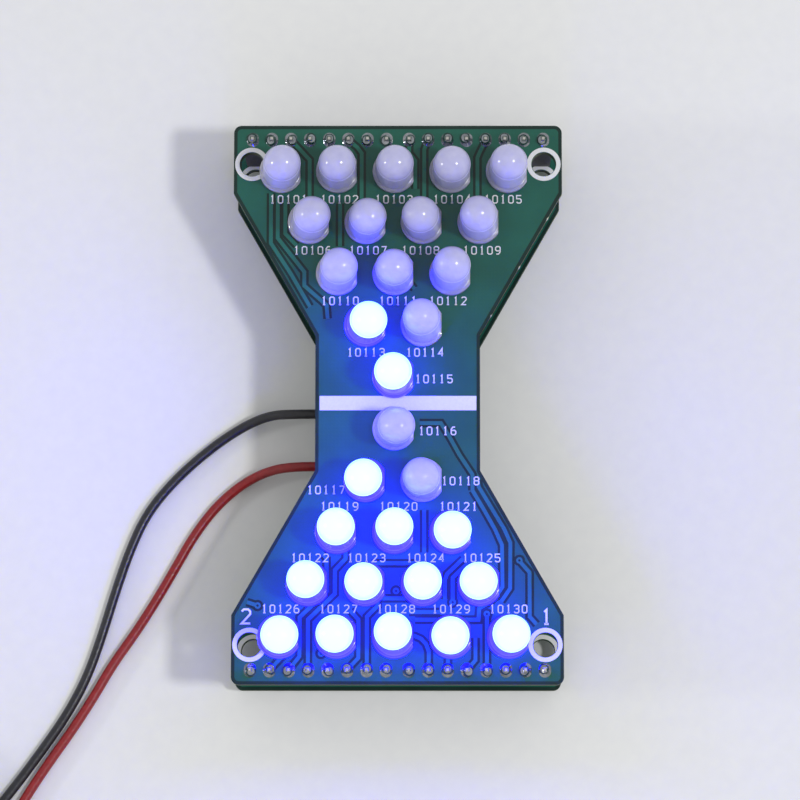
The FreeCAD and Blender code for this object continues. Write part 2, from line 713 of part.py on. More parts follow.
def chip():
    """The microcontroller: a long black body, notched at its first leg, and forty legs."""
    body = doc.addObject("PartDesign::Body", "microcontroller")
    sketch = sketch_in(body, "XY_Plane")
    x, y = named("chip_width") / 2, named("chip_length") / 2
    outline(sketch, [(x, y), (-x, y), (-x, -y), (x, -y)])
    block = pad(body, sketch, named("chip_thickness"))
    doc.recompute()
    thickness = mm("chip_thickness")
    rim = [
        f"Edge{i}"
        for i, edge in enumerate(block.Shape.Edges, 1)
        if edge.BoundBox.ZLength < 0.1 and edge.CenterOfMass.z > 0.9 * thickness
    ]
    bevel = body.newObject("PartDesign::Chamfer", "microcontroller_bevel")
    bevel.Base = (block, rim)
    bevel.setExpression("Size", "Sizes.chip_bevel")
    doc.recompute()
    notch = sketch_in(body, "XY_Plane")
    notch.AttachmentOffset = FreeCAD.Placement(Vector(0, 0, thickness), FreeCAD.Rotation())
    notch.setExpression("AttachmentOffset.Base.z", "Sizes.chip_thickness")
    circle(notch, (0, y), named("chip_notch_radius"))
    pocket(body, notch, named("chip_notch_depth"), False)
    level = CONTROLLER_TOP + named("chip_socket_height") + named("chip_standoff")
    keep(place(body, z=level), "microcontroller")

    half = mm("leg_thickness") / 2
    wide, narrow = mm("leg_shoulder") / 2, mm("leg_width") / 2
    middle = thickness / 2
    seat = -mm("chip_standoff")
    body_side = mm("chip_width") / 2 - mm("chip_row_spacing") / 2
    arm = solid_box(body_side, half, -wide, wide, middle - half, middle + half)
    upper = solid_box(-half, half, -wide, wide, seat, middle + half)
    lower = solid_box(-half, half, -narrow, narrow, seat - mm("leg_reach"), seat)
    right_leg = arm.fuse([upper, lower]).removeSplitter()
    left_leg = right_leg.mirror(Vector(0, 0, 0), Vector(1, 0, 0))
    legs = copies(right_leg, [spot for spot in chip_places() if spot[0] > 0])
    legs += copies(left_leg, [spot for spot in chip_places() if spot[0] < 0])
    item = feature("microcontroller_legs", Part.makeCompound(legs))
    keep(place(item, z=level), "microcontroller_legs")


def stadium(length, width, height):
    """A block with half-round ends, along X."""
    half = (length - width) / 2
    shape = solid_box(-half, half, -width / 2, width / 2, 0, height)
    for x in (-half, half):
        shape = shape.fuse(Part.makeCylinder(width / 2, height, Vector(x, 0, 0)))
    return shape.removeSplitter()


def clock_parts():
    """The crystal in its can and the two disc capacitors beside it."""
    length, width = mm("crystal_length"), mm("crystal_width")
    rim = 2 * mm("crystal_rim")
    base = stadium(length, width, mm("crystal_base"))
    lid = stadium(length - rim, width - rim, mm("crystal_height"))
    item = feature("crystal", base.fuse(lid).removeSplitter())
    keep(place(item, CRYSTAL_X, CRYSTAL_Y, CONTROLLER_TOP), "crystal")
    radius, thickness = mm("disc_radius"), mm("disc_thickness")
    discs = []
    for k in (0, 1):
        x = k * mm("disc_step") - thickness / 2
        disc = Part.makeCylinder(radius, thickness, Vector(x, 0, radius), Vector(1, 0, 0))
        discs.append(disc.makeFillet(mm("disc_edge"), disc.Edges[0:1] + disc.Edges[2:3]))
    item = feature("load_capacitors", Part.makeCompound(discs))
    level = CONTROLLER_TOP + named("disc_foot")
    keep(place(item, DISC_X, DISC_Y, level), "load_capacitors")


def reset_parts():
    """The reset capacitor, a crimped can, and the reset resistor, a small barrel."""
    body = doc.addObject("PartDesign::Body", "reset_capacitor")
    sketch = sketch_in(body, "XZ_Plane")
    radius, height, crimp = named("can_radius"), named("can_height"), named("can_crimp")
    groove = named("can_crimp_level")
    inner = radius - crimp
    spots = [
        (0, 0),
        (radius, 0),
        (radius, groove - crimp),
        (inner, groove),
        (radius, groove + crimp),
        (radius, height - crimp),
        (inner, height),
        (0, height),
    ]
    outline(sketch, spots)
    turned(body, sketch, "V_Axis")
    keep(place(body, named("can_shift"), CAN_Y, CONTROLLER_TOP), "reset_capacitor")

    body = doc.addObject("PartDesign::Body", "reset_resistor")
    sketch = sketch_in(body, "XZ_Plane")
    radius, waist = named("resistor_radius"), named("resistor_waist")
    half, cap = named("resistor_length") / 2, named("resistor_cap")
    step = radius - waist
    inner = half - cap
    spots = [
        (-half, 0),
        (-half, waist),
        (-half + step, radius),
        (-inner - step, radius),
        (-inner, waist),
        (inner, waist),
        (inner + step, radius),
        (half - step, radius),
        (half, waist),
        (half, 0),
    ]
    outline(sketch, spots)
    turned(body, sketch, "H_Axis")
    level = CONTROLLER_TOP + radius
    keep(place(body, named("resistor_shift"), RESISTOR_Y, level), "reset_resistor")


def tilt_switch():
    """The tilt switch: a thin can, the base that closes it and the two balls that roll in it."""
    radius, wall, length = mm("tilt_radius"), mm("tilt_wall"), mm("tilt_length")
    along = Vector(0, 1, 0)
    can = Part.makeCylinder(radius, length, Vector(0, 0, 0), along)
    can = can.cut(Part.makeCylinder(radius - wall, length - wall, Vector(0, 0, 0), along))
    axis = CONTROLLER_TOP + named("tilt_radius")
    keep(place(feature("tilt_switch_can", can), TILT_X, TILT_MOUTH_Y, axis), "tilt_switch_can")
    base = Part.makeCylinder(radius, mm("tilt_base"), Vector(0, 0, 0), -along)
    keep(place(feature("tilt_switch_base", base), TILT_X, TILT_MOUTH_Y, axis), "tilt_switch_base")
    ball, gap = mm("ball_radius"), mm("ball_gap")
    middle = (length - wall) / 2
    balls = [
        Part.makeSphere(ball, Vector(0, middle + side * (ball + gap / 2), 0)) for side in (-1, 1)
    ]
    item = feature("tilt_switch_balls", Part.makeCompound(balls))
    keep(place(item, TILT_X, TILT_MOUTH_Y, axis), "tilt_switch_balls")


def side_button():
    """The side button: a housing with a blind bore, and the plunger that slides in it."""
    depth, width, height = named("button_depth"), named("button_width"), named("button_height")
    block = boxed("button_block", (-depth, -width / 2, 0), (0, width / 2, height))
    bore_depth = named("plunger_in") + named("plunger_travel") + named("plunger_clearance")
    bore = doc.addObject("Part::Cylinder", "button_bore")
    bore.setExpression("Radius", (named("plunger_radius") + named("plunger_clearance")).text)
    bore.setExpression("Height", bore_depth.text)
    bore.Placement.Rotation = FreeCAD.Rotation(Vector(0, 1, 0), 90)
    place(bore, x=-bore_depth, z=named("plunger_axis"))
    housing = cut("button_housing", block, bore)
    keep(place(housing, BUTTON_FACE_X, BUTTON_Y, CONTROLLER_TOP), "button_housing")
    plunger = doc.addObject("Part::Cylinder", "button_plunger")
    plunger.setExpression("Radius", "Sizes.plunger_radius")
    plunger.setExpression("Height", (named("plunger_in") + named("plunger_out")).text)
    plunger.Placement.Rotation = FreeCAD.Rotation(Vector(0, 1, 0), 90)
    inner_end = BUTTON_FACE_X - named("plunger_in")
    place(plunger, inner_end, BUTTON_Y, CONTROLLER_TOP + named("plunger_axis"))
    keep(plunger, "button_plunger")


def bent_lead(run, height, tail):
    """A lead that comes level towards -X from a part's end and turns down through the board."""
    half = mm("tail_side") / 2
    arm = solid_box(-half, run, -half, half, height - half, height + half)
    return arm.fuse(post(2 * half, -tail, height + half)).removeSplitter()


def small_leads():
    """The leads of the small parts, from each part down through the controller board."""
    side = mm("tail_side")
    tail = mm("board_thickness") + mm("joint_height") - 2 * mm("joint_margin")
    places = component_places()
    straight = places["crystal"] + places["can"] + places["button"]
    leads = copies(post(side, -tail, 0), straight)
    radius = mm("disc_radius")
    offset = mm("disc_lead_spacing") / 2
    sunk = radius - math.sqrt(radius**2 - (offset - side / 2) ** 2)
    leads += copies(post(side, -tail, mm("disc_foot") + sunk), places["disc"])
    height, run = mm("resistor_radius"), (mm("resistor_lead_spacing") - mm("resistor_length")) / 2
    bent = bent_lead(run, height, tail)
    leads.append(bent.translated(Vector(*places["resistor"][0], 0)))
    bent = bent.mirror(Vector(0, 0, 0), Vector(1, 0, 0))
    leads.append(bent.translated(Vector(*places["resistor"][1], 0)))
    bent = bent_lead(mm("tilt_lead_run"), mm("tilt_radius"), tail)
    bent.rotate(Vector(0, 0, 0), Vector(0, 0, 1), 90)
    leads += copies(bent, places["tilt"])
    item = feature("component_leads", Part.makeCompound(leads))
    keep(place(item, z=CONTROLLER_TOP), "component_leads")


def pad_solder(y):
    """Solder on a wire pad: a low cone with the tinned strands leading out of it."""
    x = float(PAD_X)
    foot, crown = mm("pad_solder_radius"), mm("pad_solder_crown")
    cone = Part.makeCone(foot, crown, mm("pad_solder_height"), Vector(x, y, 0))
    run = mm("pad_inset") + mm("wire_lap")
    start = Vector(x, y, mm("wire_radius"))
    strands = Part.makeCylinder(mm("strand_radius"), run, start, Vector(-1, 0, 0))
    return cone.fuse(strands).removeSplitter()


def controller_side():
    """The controller board with its solder."""
    side = mm("tail_side")
    small = [spot for group in component_places().values() for spot in group]
    others = chip_places() + small
    board("controller_board", CONTROLLER_BOTTOM, [(x, y, side) for x, y in pin_places() + others])
    rise = mm("joint_height") - mm("joint_margin")
    joints = copies(joint(side, rise, -1, through=False), others)
    for y in (mm("black_pad"), mm("red_pad")):
        blob = pad_solder(y)
        blob.translate(Vector(0, 0, mm("board_thickness")))
        joints.append(blob)
    item = feature("controller_solder", Part.makeCompound(joints))
    keep(place(item, z=CONTROLLER_BOTTOM), "controller_solder")


# The supply wires. Each leaves its pad level with it, comes down to the table and lies in the
# curve that it has there. The length left over is a round coil of two layers.

LEVEL = float(CONTROLLER_TOP) + mm("wire_radius")
REST = mm("wire_radius")
WIRE_START_X = -float(HALF_NECK) - mm("wire_lap")

BLACK_ROUTE = [
    (WIRE_START_X, mm("black_pad"), LEVEL),
    (-14.0, mm("black_pad"), LEVEL),
    (-17.5, 0.0, LEVEL - 1.5),
    (-21.4, -1.6, REST + 0.2),
    (-25.6, -4.5, REST),
    (-30.2, -8.6, REST),
    (-33.9, -13.1, REST),
    (-36.2, -18.2, REST),
    (-38.1, -23.9, REST),
    (-39.8, -29.6, REST),
    (-41.8, -35.4, REST),
    (-44.6, -40.6, REST),
    (-48.1, -45.6, REST),
    (-51.8, -50.6, REST),
    (-55.2, -54.7, REST),
]
RED_ROUTE = [
    (WIRE_START_X, mm("red_pad"), LEVEL),
    (-14.0, mm("red_pad"), LEVEL),
    (-17.4, -7.5, LEVEL - 1.5),
    (-21.0, -9.1, REST + 0.2),
    (-24.6, -12.2, REST),
    (-27.6, -16.2, REST),
    (-30.0, -20.5, REST),
    (-32.6, -25.0, REST),
    (-35.4, -29.4, REST),
    (-38.4, -33.6, REST),
    (-40.9, -38.0, REST),
    (-43.8, -42.5, REST),
    (-47.0, -47.0, REST),
    (-50.0, -51.6, REST),
    (-52.4, -55.9, REST),
]
BLACK_COIL = {"heading": (-0.75, -0.66), "hand": -1, "turns": 3.0}
RED_COIL = {"heading": (-0.45, -0.89), "hand": 1, "turns": 3.1}


def unit(vector):
    """A vector's direction."""
    return Vector(vector).normalize()


def rounded_path(points):
    """Straight runs joined by the largest tangent arcs that fit, and the least radius of them."""
    edges, start, least = [], points[0], math.inf
    for before, corner, after in zip(points, points[1:], points[2:]):
        back, ahead = before - corner, after - corner
        turn = math.pi - back.getAngle(ahead)
        radius = 0.45 * min(back.Length, ahead.Length) / math.tan(turn / 2)
        least = min(least, radius)
        reach = radius * math.tan(turn / 2)
        first = corner + unit(back) * reach
        last = corner + unit(ahead) * reach
        inward = unit(unit(back) + unit(ahead))
        centre = corner + inward * (radius / math.cos(turn / 2))
        middle = centre - inward * radius
        edges.append(Part.LineSegment(start, first).toShape())
        edges.append(Part.Arc(first, middle, last).toShape())
        start = last
    edges.append(Part.LineSegment(start, points[-1]).toShape())
    return Part.Wire(edges), least


def swept(path, start, heading):
    """A round tube of the insulation's radius along a path."""
    ring = Part.Wire(Part.makeCircle(mm("wire_radius"), start, heading))
    return path.makePipeShell([ring], True, False)


def report_tube(label, tube, path, least):
    """Prints a tube's length and least radius, and compares its volume with its section."""
    expected = math.pi * mm("wire_radius") ** 2 * path.Length
    print(f"{label}: {path.Length:.1f} mm long, least radius {least:.1f} mm,", end=" ")
    print(f"volume {tube.Volume / expected:.4f} of section times length")


def arcs_between(p, t, q, u):
    """Two arcs that leave p along t and arrive at q along u."""
    chord = q - p
    both = t + u
    a = 2 * (1 - t.dot(u))
    b = chord.dot(both)
    reach = (math.sqrt(b * b + a * chord.dot(chord)) - b) / a
    joint_point = (p + t * reach + q - u * reach) * 0.5
    edges = []
    for begin, heading, end in ((p, t, joint_point), (joint_point, None, q)):
        if heading is None:
            heading = unit(q - u * reach - (p + t * reach))
        span = end - begin
        across = span.cross(heading).cross(span)
        sag = span.Length / 2 * math.tan(span.getAngle(heading) / 2)
        middle = begin + span * 0.5 + unit(across) * sag
        edges.append(Part.Arc(begin, middle, end).toShape())
    return edges


def coil_path(start, heading, hand, turns):
    """The centreline of a coil: in along the lower layer, up, and out along the upper one."""
    outer, step, layer = mm("coil_radius"), mm("coil_step"), mm("coil_layer")
    side = Vector(-heading.y, heading.x, 0) * hand
    centre = start + side * outer
    begin = math.atan2(-side.y, -side.x)
    low_turns = (turns - 0.5) / 2

    def point(t):
        """The centreline after t turns."""
        if t < low_turns:
            radius, rise = outer - step * t, 0.0
        elif t < low_turns + 0.5:
            share = (t - low_turns) / 0.5
            dip = step * 0.5 / math.pi * math.sin(math.pi * share)
            radius, rise = outer - step * low_turns - dip, layer * share**2 * (3 - 2 * share)
        else:
            radius, rise = outer - step * (turns - t), layer
        angle = begin + hand * 2 * math.pi * t
        return centre + Vector(radius * math.cos(angle), radius * math.sin(angle), rise)

    pieces = math.ceil(turns * 8)
    stops = [turns * i / pieces for i in range(pieces + 1)]
    spots = [point(t) for t in stops]
    ways = []
    for t in stops:
        ahead, behind = min(t + 0.001, turns), max(t - 0.001, 0)
        ways.append(unit(point(ahead) - point(behind)))
    ways[0], ways[-1] = heading, unit(Vector(ways[-1].x, ways[-1].y, 0))
    diameter = 2 * mm("wire_radius")
    first = spots[0] - ways[0] * diameter
    last = spots[-1] + ways[-1] * diameter
    edges = [Part.LineSegment(first, spots[0]).toShape()]
    for i in range(pieces):
        edges += arcs_between(spots[i], ways[i], spots[i + 1], ways[i + 1])
    edges.append(Part.LineSegment(spots[-1], last).toShape())
    return Part.Wire(edges), first, last, ways[-1]


def least_gap(path, diameter):
    """The least distance between parts of a path that aren't neighbours, less the diameter."""
    count = int(path.Length / (diameter / 3))
    points = path.discretize(count)
    apart = int(4 * diameter / (path.Length / count))
    least = math.inf
    for i in range(len(points)):
        for j in range(i + apart, len(points)):
            least = min(least, (points[i] - points[j]).Length)
    return least - diameter


def supply_wire(colour, route, coil):
    """One wire: its free stretch, its coil and its tinned end."""
    heading = unit(Vector(*coil["heading"], 0))
    diameter = 2 * mm("wire_radius")
    points = [Vector(*spot) for spot in route]
    mouth = points[-1] + heading * mm("coil_mouth")
    points.append(mouth)
    path, least = rounded_path(points)
    tube = swept(path, points[0], unit(points[1] - points[0]))
    report_tube(f"{colour} wire", tube, path, least)
    keep(feature(f"{colour}_wire", tube), f"{colour}_wire")
    turn_start = mouth + heading * diameter
    wound, first, last, way = coil_path(turn_start, heading, coil["hand"], coil["turns"])
    turns = swept(wound, first, heading)
    report_tube(f"{colour} coil", turns, wound, mm("coil_radius") / 2)
    gap = least_gap(wound, diameter)
    print(f"{colour} coil: least gap to itself {gap:.2f} mm,", end=" ")
    print(f"whole wire {path.Length + wound.Length:.1f} mm, starts {first}, ends {last}")
    keep(feature(f"{colour}_coil", turns), f"{colour}_coil")
    tip = Part.makeCylinder(mm("strand_radius"), mm("strip_length"), last, way)
    keep(feature(f"{colour}_wire_tip", tip), f"{colour}_wire_tip")


def check_and_write():
    """Stops at a failed object, an empty cut or a bad shape, and then writes each piece."""
    doc.recompute()
    for item in doc.Objects:
        if "Invalid" in item.State or "Error" in item.State:
            raise RuntimeError(f"{item.Label} failed: {item.State}")
    for item, base in cuts:
        if not item.Shape.Volume < base.Shape.Volume:
            raise RuntimeError(f"{item.Label} cuts nothing")
    for item in parts:
        if item.Shape.isNull() or not item.Shape.isValid() or not item.Shape.Solids:
            raise RuntimeError(f"{item.Label} has no valid solid")
    os.makedirs("parts", exist_ok=True)
    for item in parts:
        item.Shape.exportStep(f"parts/{item.Label}.step")
    print(f"{len(parts)} pieces, {sum(len(item.Shape.Solids) for item in parts)} solids")


controller_side()
display_side()
pin_rows()
for index, (column, sign, row) in enumerate(led_spots(), 1):
    led(index, column, sign, row)
chip_socket()
chip()
clock_parts()
reset_parts()
tilt_switch()
side_button()
small_leads()
supply_wire("black", BLACK_ROUTE, BLACK_COIL)
supply_wire("red", RED_ROUTE, RED_COIL)
check_and_write()
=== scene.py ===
# %% [markdown]
# # Electronic hourglass timer
# Two green boards of the same hourglass outline lie on a table, plugged on each other. The upper
# one carries thirty round LEDs, and a red and a black wire bring the power in. The CAD model
# gives every place and size, and this lesson dresses it piece by piece: first the camera and the
# wires, then the boards with their copper and printing, the LEDs, the solder and the small parts.

# %% Load the frame
import math
import random

import bmesh
import bpy
from mathutils import Matrix, Vector


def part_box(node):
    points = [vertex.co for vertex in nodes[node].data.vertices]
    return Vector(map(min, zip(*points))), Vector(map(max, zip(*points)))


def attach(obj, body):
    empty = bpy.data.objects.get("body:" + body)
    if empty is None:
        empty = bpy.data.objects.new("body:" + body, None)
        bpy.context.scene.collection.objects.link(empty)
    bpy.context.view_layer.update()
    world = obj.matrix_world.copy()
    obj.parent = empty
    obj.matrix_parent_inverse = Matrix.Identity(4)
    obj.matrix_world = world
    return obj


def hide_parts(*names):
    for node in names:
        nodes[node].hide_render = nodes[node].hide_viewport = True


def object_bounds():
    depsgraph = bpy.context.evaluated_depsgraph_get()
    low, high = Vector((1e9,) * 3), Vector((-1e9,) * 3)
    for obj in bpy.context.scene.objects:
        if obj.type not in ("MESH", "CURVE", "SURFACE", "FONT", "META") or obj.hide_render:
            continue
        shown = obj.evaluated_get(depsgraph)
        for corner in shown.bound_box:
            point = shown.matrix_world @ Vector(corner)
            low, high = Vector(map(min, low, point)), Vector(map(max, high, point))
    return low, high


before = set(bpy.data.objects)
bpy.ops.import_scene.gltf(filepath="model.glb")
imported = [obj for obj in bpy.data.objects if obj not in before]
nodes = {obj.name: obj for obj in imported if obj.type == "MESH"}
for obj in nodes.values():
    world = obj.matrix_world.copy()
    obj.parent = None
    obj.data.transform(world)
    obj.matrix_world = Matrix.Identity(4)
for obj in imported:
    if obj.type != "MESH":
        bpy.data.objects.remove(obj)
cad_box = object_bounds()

print("nodes:", len(nodes), "box:", [[round(c * 1000, 2) for c in corner] for corner in cad_box])

# %% [markdown]
# ## Units and levels
# Blender works in metres and circuit boards are drawn in millimetres, so every number below is
# in millimetres and becomes metres in one place. The levels are read from the CAD pieces, which
# keeps each new piece seated on what carries it.

# %% Levels of the stack
MM = 0.001


def low(name):
    """The lowest corner of a CAD piece, in mm."""
    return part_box(name)[0] / MM


def high(name):
    """The highest corner of a CAD piece, in mm."""
    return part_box(name)[1] / MM


def point(x, y, z):
    """A place given in mm, in metres."""
    return Vector((x, y, z)) * MM


FACE = high("led_board").z
BACK = low("led_board").z
DECK = high("controller_board").z
UNDERSIDE = low("controller_board").z
print("board faces, mm:", [round(z, 2) for z in (UNDERSIDE, DECK, BACK, FACE)])

# %% [markdown]
# ## A material in small steps
# Every finish is a Principled shader with a few nodes in front of it. One helper turns a colour
# as a painter writes it (sRGB hex) into the linear values that Blender computes with, one adds a
# node, sets it and links it, and the rest build a whole finish from these. A Mix node has one set
# of sockets for each kind of value, so its sockets are called by number.

# %% Helpers for materials
NOISE_DETAIL = 4
# Nearly all of the noise lies between these two values, which become the ends of a finish.
NOISE_LOW = 0.3
NOISE_HIGH = 0.7
MIX_SHARE = 0
MIX_VALUES = (2, 3)
MIX_COLOURS = (6, 7)
COLOUR_RESULT = 2


def linear(code):
    """An sRGB hex colour as linear RGBA."""
    channels = [int(code[i : i + 2], 16) / 255 for i in (1, 3, 5)]
    return [c / 12.92 if c <= 0.04045 else ((c + 0.055) / 1.055) ** 2.4 for c in channels] + [1.0]


def add(tree, kind, inputs=None, **settings):
    """Adds a node. Inputs are values or the sockets that feed them, settings its own properties."""
    node = tree.nodes.new("ShaderNode" + kind)
    for name, value in settings.items():
        setattr(node, name, value)
    for key, value in (inputs or {}).items():
        if isinstance(value, bpy.types.NodeSocket):
            tree.links.new(value, node.inputs[key])
        else:
            node.inputs[key].default_value = value
    return node


def mix_colours(tree, share, first, second):
    """Fades from a first colour to a second by a share from 0 to 1."""
    inputs = {MIX_SHARE: share, MIX_COLOURS[0]: first, MIX_COLOURS[1]: second}
    return add(tree, "Mix", inputs, data_type="RGBA").outputs[COLOUR_RESULT]


def finish(name, **inputs):
    """Starts a material: itself, its tree and its Principled shader with the given inputs."""
    material = bpy.data.materials.new(name)
    material.use_nodes = True
    shader = material.node_tree.nodes["Principled BSDF"]
    for key, value in inputs.items():
        shader.inputs[key.replace("_", " ")].default_value = value
    return material, material.node_tree, shader


def grain(tree, shader, size, colours, rough, relief, stretch=(1, 1, 1)):
    """Noise with grains of a size in mm, for colour, roughness and relief (its depth in mm).

    Colours and roughness are given as two ends each. Returns the socket with the colour.
    """
    place = add(tree, "TexCoord").outputs["Object"]
    turned = add(tree, "Mapping", {"Vector": place, "Scale": stretch}).outputs["Vector"]
    inputs = {"Vector": turned, "Scale": 1 / (size * MM), "Detail": NOISE_DETAIL}
    noise = add(tree, "TexNoise", inputs).outputs["Fac"]
    inputs = {"Value": noise, "From Min": NOISE_LOW, "From Max": NOISE_HIGH}
    share = add(tree, "MapRange", inputs).outputs["Result"]
    colour = mix_colours(tree, share, linear(colours[0]), linear(colours[1]))
    tree.links.new(colour, shader.inputs["Base Color"])
    spread = add(tree, "MapRange", {"Value": share, "To Min": rough[0], "To Max": rough[1]})
    tree.links.new(spread.outputs["Result"], shader.inputs["Roughness"])
    bump = add(tree, "Bump", {"Height": share, "Distance": relief * MM})
    tree.links.new(bump.outputs["Normal"], shader.inputs["Normal"])
    return colour


def grained(name, size, colours, rough, relief, stretch=(1, 1, 1), **inputs):
    """A whole material: its shader with the given inputs, and its grain."""
    material, tree, shader = finish(name, **inputs)
    grain(tree, shader, size, colours, rough, relief, stretch)
    return material


print("helpers for materials are ready")

# %% [markdown]
# ## Helpers for pieces
# A new piece is a bmesh that becomes an object, gets its finishes, and is tied to the body that
# it moves with. Doubles are merged and the normals recalculated once, at the end, because a spin
# or a mirror can turn a shape inside out.

# %% Helpers for pieces
STACK = "stack"
TINY = 0.0004 * MM


def piece(name, bm, finishes, body=STACK, stands_for=(), smooth=35):
    """Makes the finished object of a bmesh, ties it to its body and hides the CAD nodes it stands for.

    Faces that meet at less than the angle smooth, in degrees, are shaded as one surface.
    """
    bmesh.ops.remove_doubles(bm, verts=bm.verts, dist=TINY)
    bmesh.ops.recalc_face_normals(bm, faces=bm.faces)
    mesh = bpy.data.meshes.new(name)
    bm.to_mesh(mesh)
    bm.free()
    mesh.shade_smooth()
    mesh.set_sharp_from_angle(angle=math.radians(smooth))
    for material in finishes:
        mesh.materials.append(material)
    thing = bpy.data.objects.new(name, mesh)
    bpy.context.collection.objects.link(thing)
    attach(thing, body)
    if stands_for:
        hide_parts(*stands_for)
    print(name, "has", len(mesh.polygons), "faces")
    return thing


def dress(material, *names):
    """Gives CAD nodes a finish."""
    for name in names:
        for slot in nodes[name].material_slots:
            slot.material = material


def of_kind(geometry, kind):
    """The members of an operator's result that are vertices, edges or faces."""
    return [g for g in geometry if isinstance(g, kind)]


def join(bm, part):
    """Adds a finished shape to a piece. Operators are quick only while their bmesh is small."""
    mesh = bpy.data.meshes.new("part")
    part.to_mesh(mesh)
    part.free()
    bm.from_mesh(mesh)
    bpy.data.meshes.remove(mesh)


def turn(bm, profile, axis=(0, 0, 1), centre=(0, 0, 0), steps=48, shape=None):
    """Spins a profile of points in mm round an axis. A shape function may move its vertices."""
    part = bmesh.new()
    verts = [part.verts.new(point(*spot)) for spot in profile]
    edges = [part.edges.new(pair) for pair in zip(verts, verts[1:])]
    bmesh.ops.spin(
        part,
        geom=verts + edges,
        axis=axis,
        cent=point(*centre),
        angle=2 * math.pi,
        steps=steps,
        use_merge=True,
    )
    for vert in part.verts if shape else ():
        shape(vert)
    join(bm, part)


def upright(bm, profile, x, y, level, steps):
    """Spins a profile of (radius, height) pairs in mm round an axis that stands on a level."""
    turn(bm, [(x + r, y, level + z) for r, z in profile], centre=(x, y, level), steps=steps)


def raise_up(bm, faces, rise):
    """Gives a flat shape a thickness in mm, upwards or, if negative, downwards."""
    grown = bmesh.ops.extrude_face_region(bm, geom=faces)["geom"]
    verts = of_kind(grown, bmesh.types.BMVert)
    bmesh.ops.translate(bm, verts=verts, vec=point(0, 0, rise))
    return verts


def band(bm, path, width, level, rise):
    """Lays a flat band along a path of (x, y) in mm, mitred at its corners, and thickens it."""
    part = bmesh.new()
    spots = [Vector(spot) for spot in path]
    closed = spots[0] == spots[-1]
    if closed:
        spots.pop()
    line = [part.verts.new(point(*spot, level)) for spot in spots]
    pairs = list(zip(line, line[1:])) + ([(line[-1], line[0])] if closed else [])
    edges = [part.edges.new(pair) for pair in pairs]
    faces = of_kind(bmesh.ops.extrude_edge_only(part, edges=edges)["geom"], bmesh.types.BMFace)
    for i, vert in enumerate(line):
        twin = next(e.other_vert(vert) for e in vert.link_edges if e.calc_length() == 0)
        ways = []
        if closed or i:
            ways.append((spots[i] - spots[i - 1]).normalized())
        if closed or i + 1 < len(spots):
            ways.append((spots[(i + 1) % len(spots)] - spots[i]).normalized())
        sides = [Vector((-way.y, way.x)) for way in (ways[0], ways[-1])]
        mitre = (sides[0] + sides[1]) / (1 + sides[0].dot(sides[1])) * (width / 2)
        vert.co += point(*mitre, 0)
        twin.co -= point(*mitre, 0)
    raise_up(part, faces, rise)
    join(bm, part)


def disc(bm, x, y, radius, level, rise, steps=24):
    """A thin round plate."""
    part = bmesh.new()
    place = Matrix.Translation(point(x, y, level))
    bmesh.ops.create_circle(part, cap_ends=True, segments=steps, radius=radius * MM, matrix=place)
    raise_up(part, part.faces[:], rise)
    join(bm, part)


def ring(bm, x, y, inner, outer, level, rise, steps=40):
    """A thin flat ring, spun from its rectangular section."""
    section = [(inner, 0), (outer, 0), (outer, rise), (inner, rise), (inner, 0)]
    upright(bm, section, x, y, level, steps)


print("helpers for pieces are ready")

# %% [markdown]
# ## Camera
# The photograph was taken from above with a long lens, a little from the lower end, so the LEDs
# show their lower sides. The holes of the lower board, seen through those of the upper one, give
# that angle, and the pins' pitch gives the distance.

# %% Camera
camera_data = bpy.data.cameras.new("camera")
camera_data.sensor_width = 36.0
camera_data.lens = 184.5
camera_data.clip_end = 20.0
camera = bpy.data.objects.new("camera", camera_data)
camera.location = point(3.83, -68.89, 551.2)
camera.rotation_euler = [math.radians(angle) for angle in (7.37, 0.37, 0.05)]
bpy.context.collection.objects.link(camera)
bpy.context.scene.camera = camera
print("camera at", [round(c, 3) for c in camera.location])

# %% [markdown]
# ## Wire insulation
# The wires are common hook-up wire: PVC pushed out through a die round tinned strands. PVC is
# smooth and half glossy, with a faint unevenness along its length. The black one and the red one
# differ in colour alone, so one recipe makes both. The unevenness is drawn along the wires'
# surface at 0.6 mm, a bit coarser than it is, so that it shows at all.

# %% Wire materials


def insulation(name, dark, light):
    """PVC insulation, extruded: half glossy with a soft unevenness."""
    inputs = {"IOR": 1.53, "Specular_IOR_Level": 0.5}
    return grained(name, 0.6, (dark, light), (0.3, 0.42), 0.02, **inputs)


black_pvc = insulation("black_pvc_extruded", "#1a1a1e", "#242429")
red_pvc = insulation("red_pvc_extruded", "#7d1016", "#96161c")
print("wire finishes:", black_pvc.name, red_pvc.name)

# %% [markdown]
# ## The supply wires
# A wire is one smooth spline along the route that the CAD model gives it. The spline doesn't pass
# through its control points but swings round them, which is just how a limp wire takes a bend.
# Order 3 and the fixed end points are set after the points, because set before they don't hold.
# What the photograph doesn't show is put away in a coil of two layers.

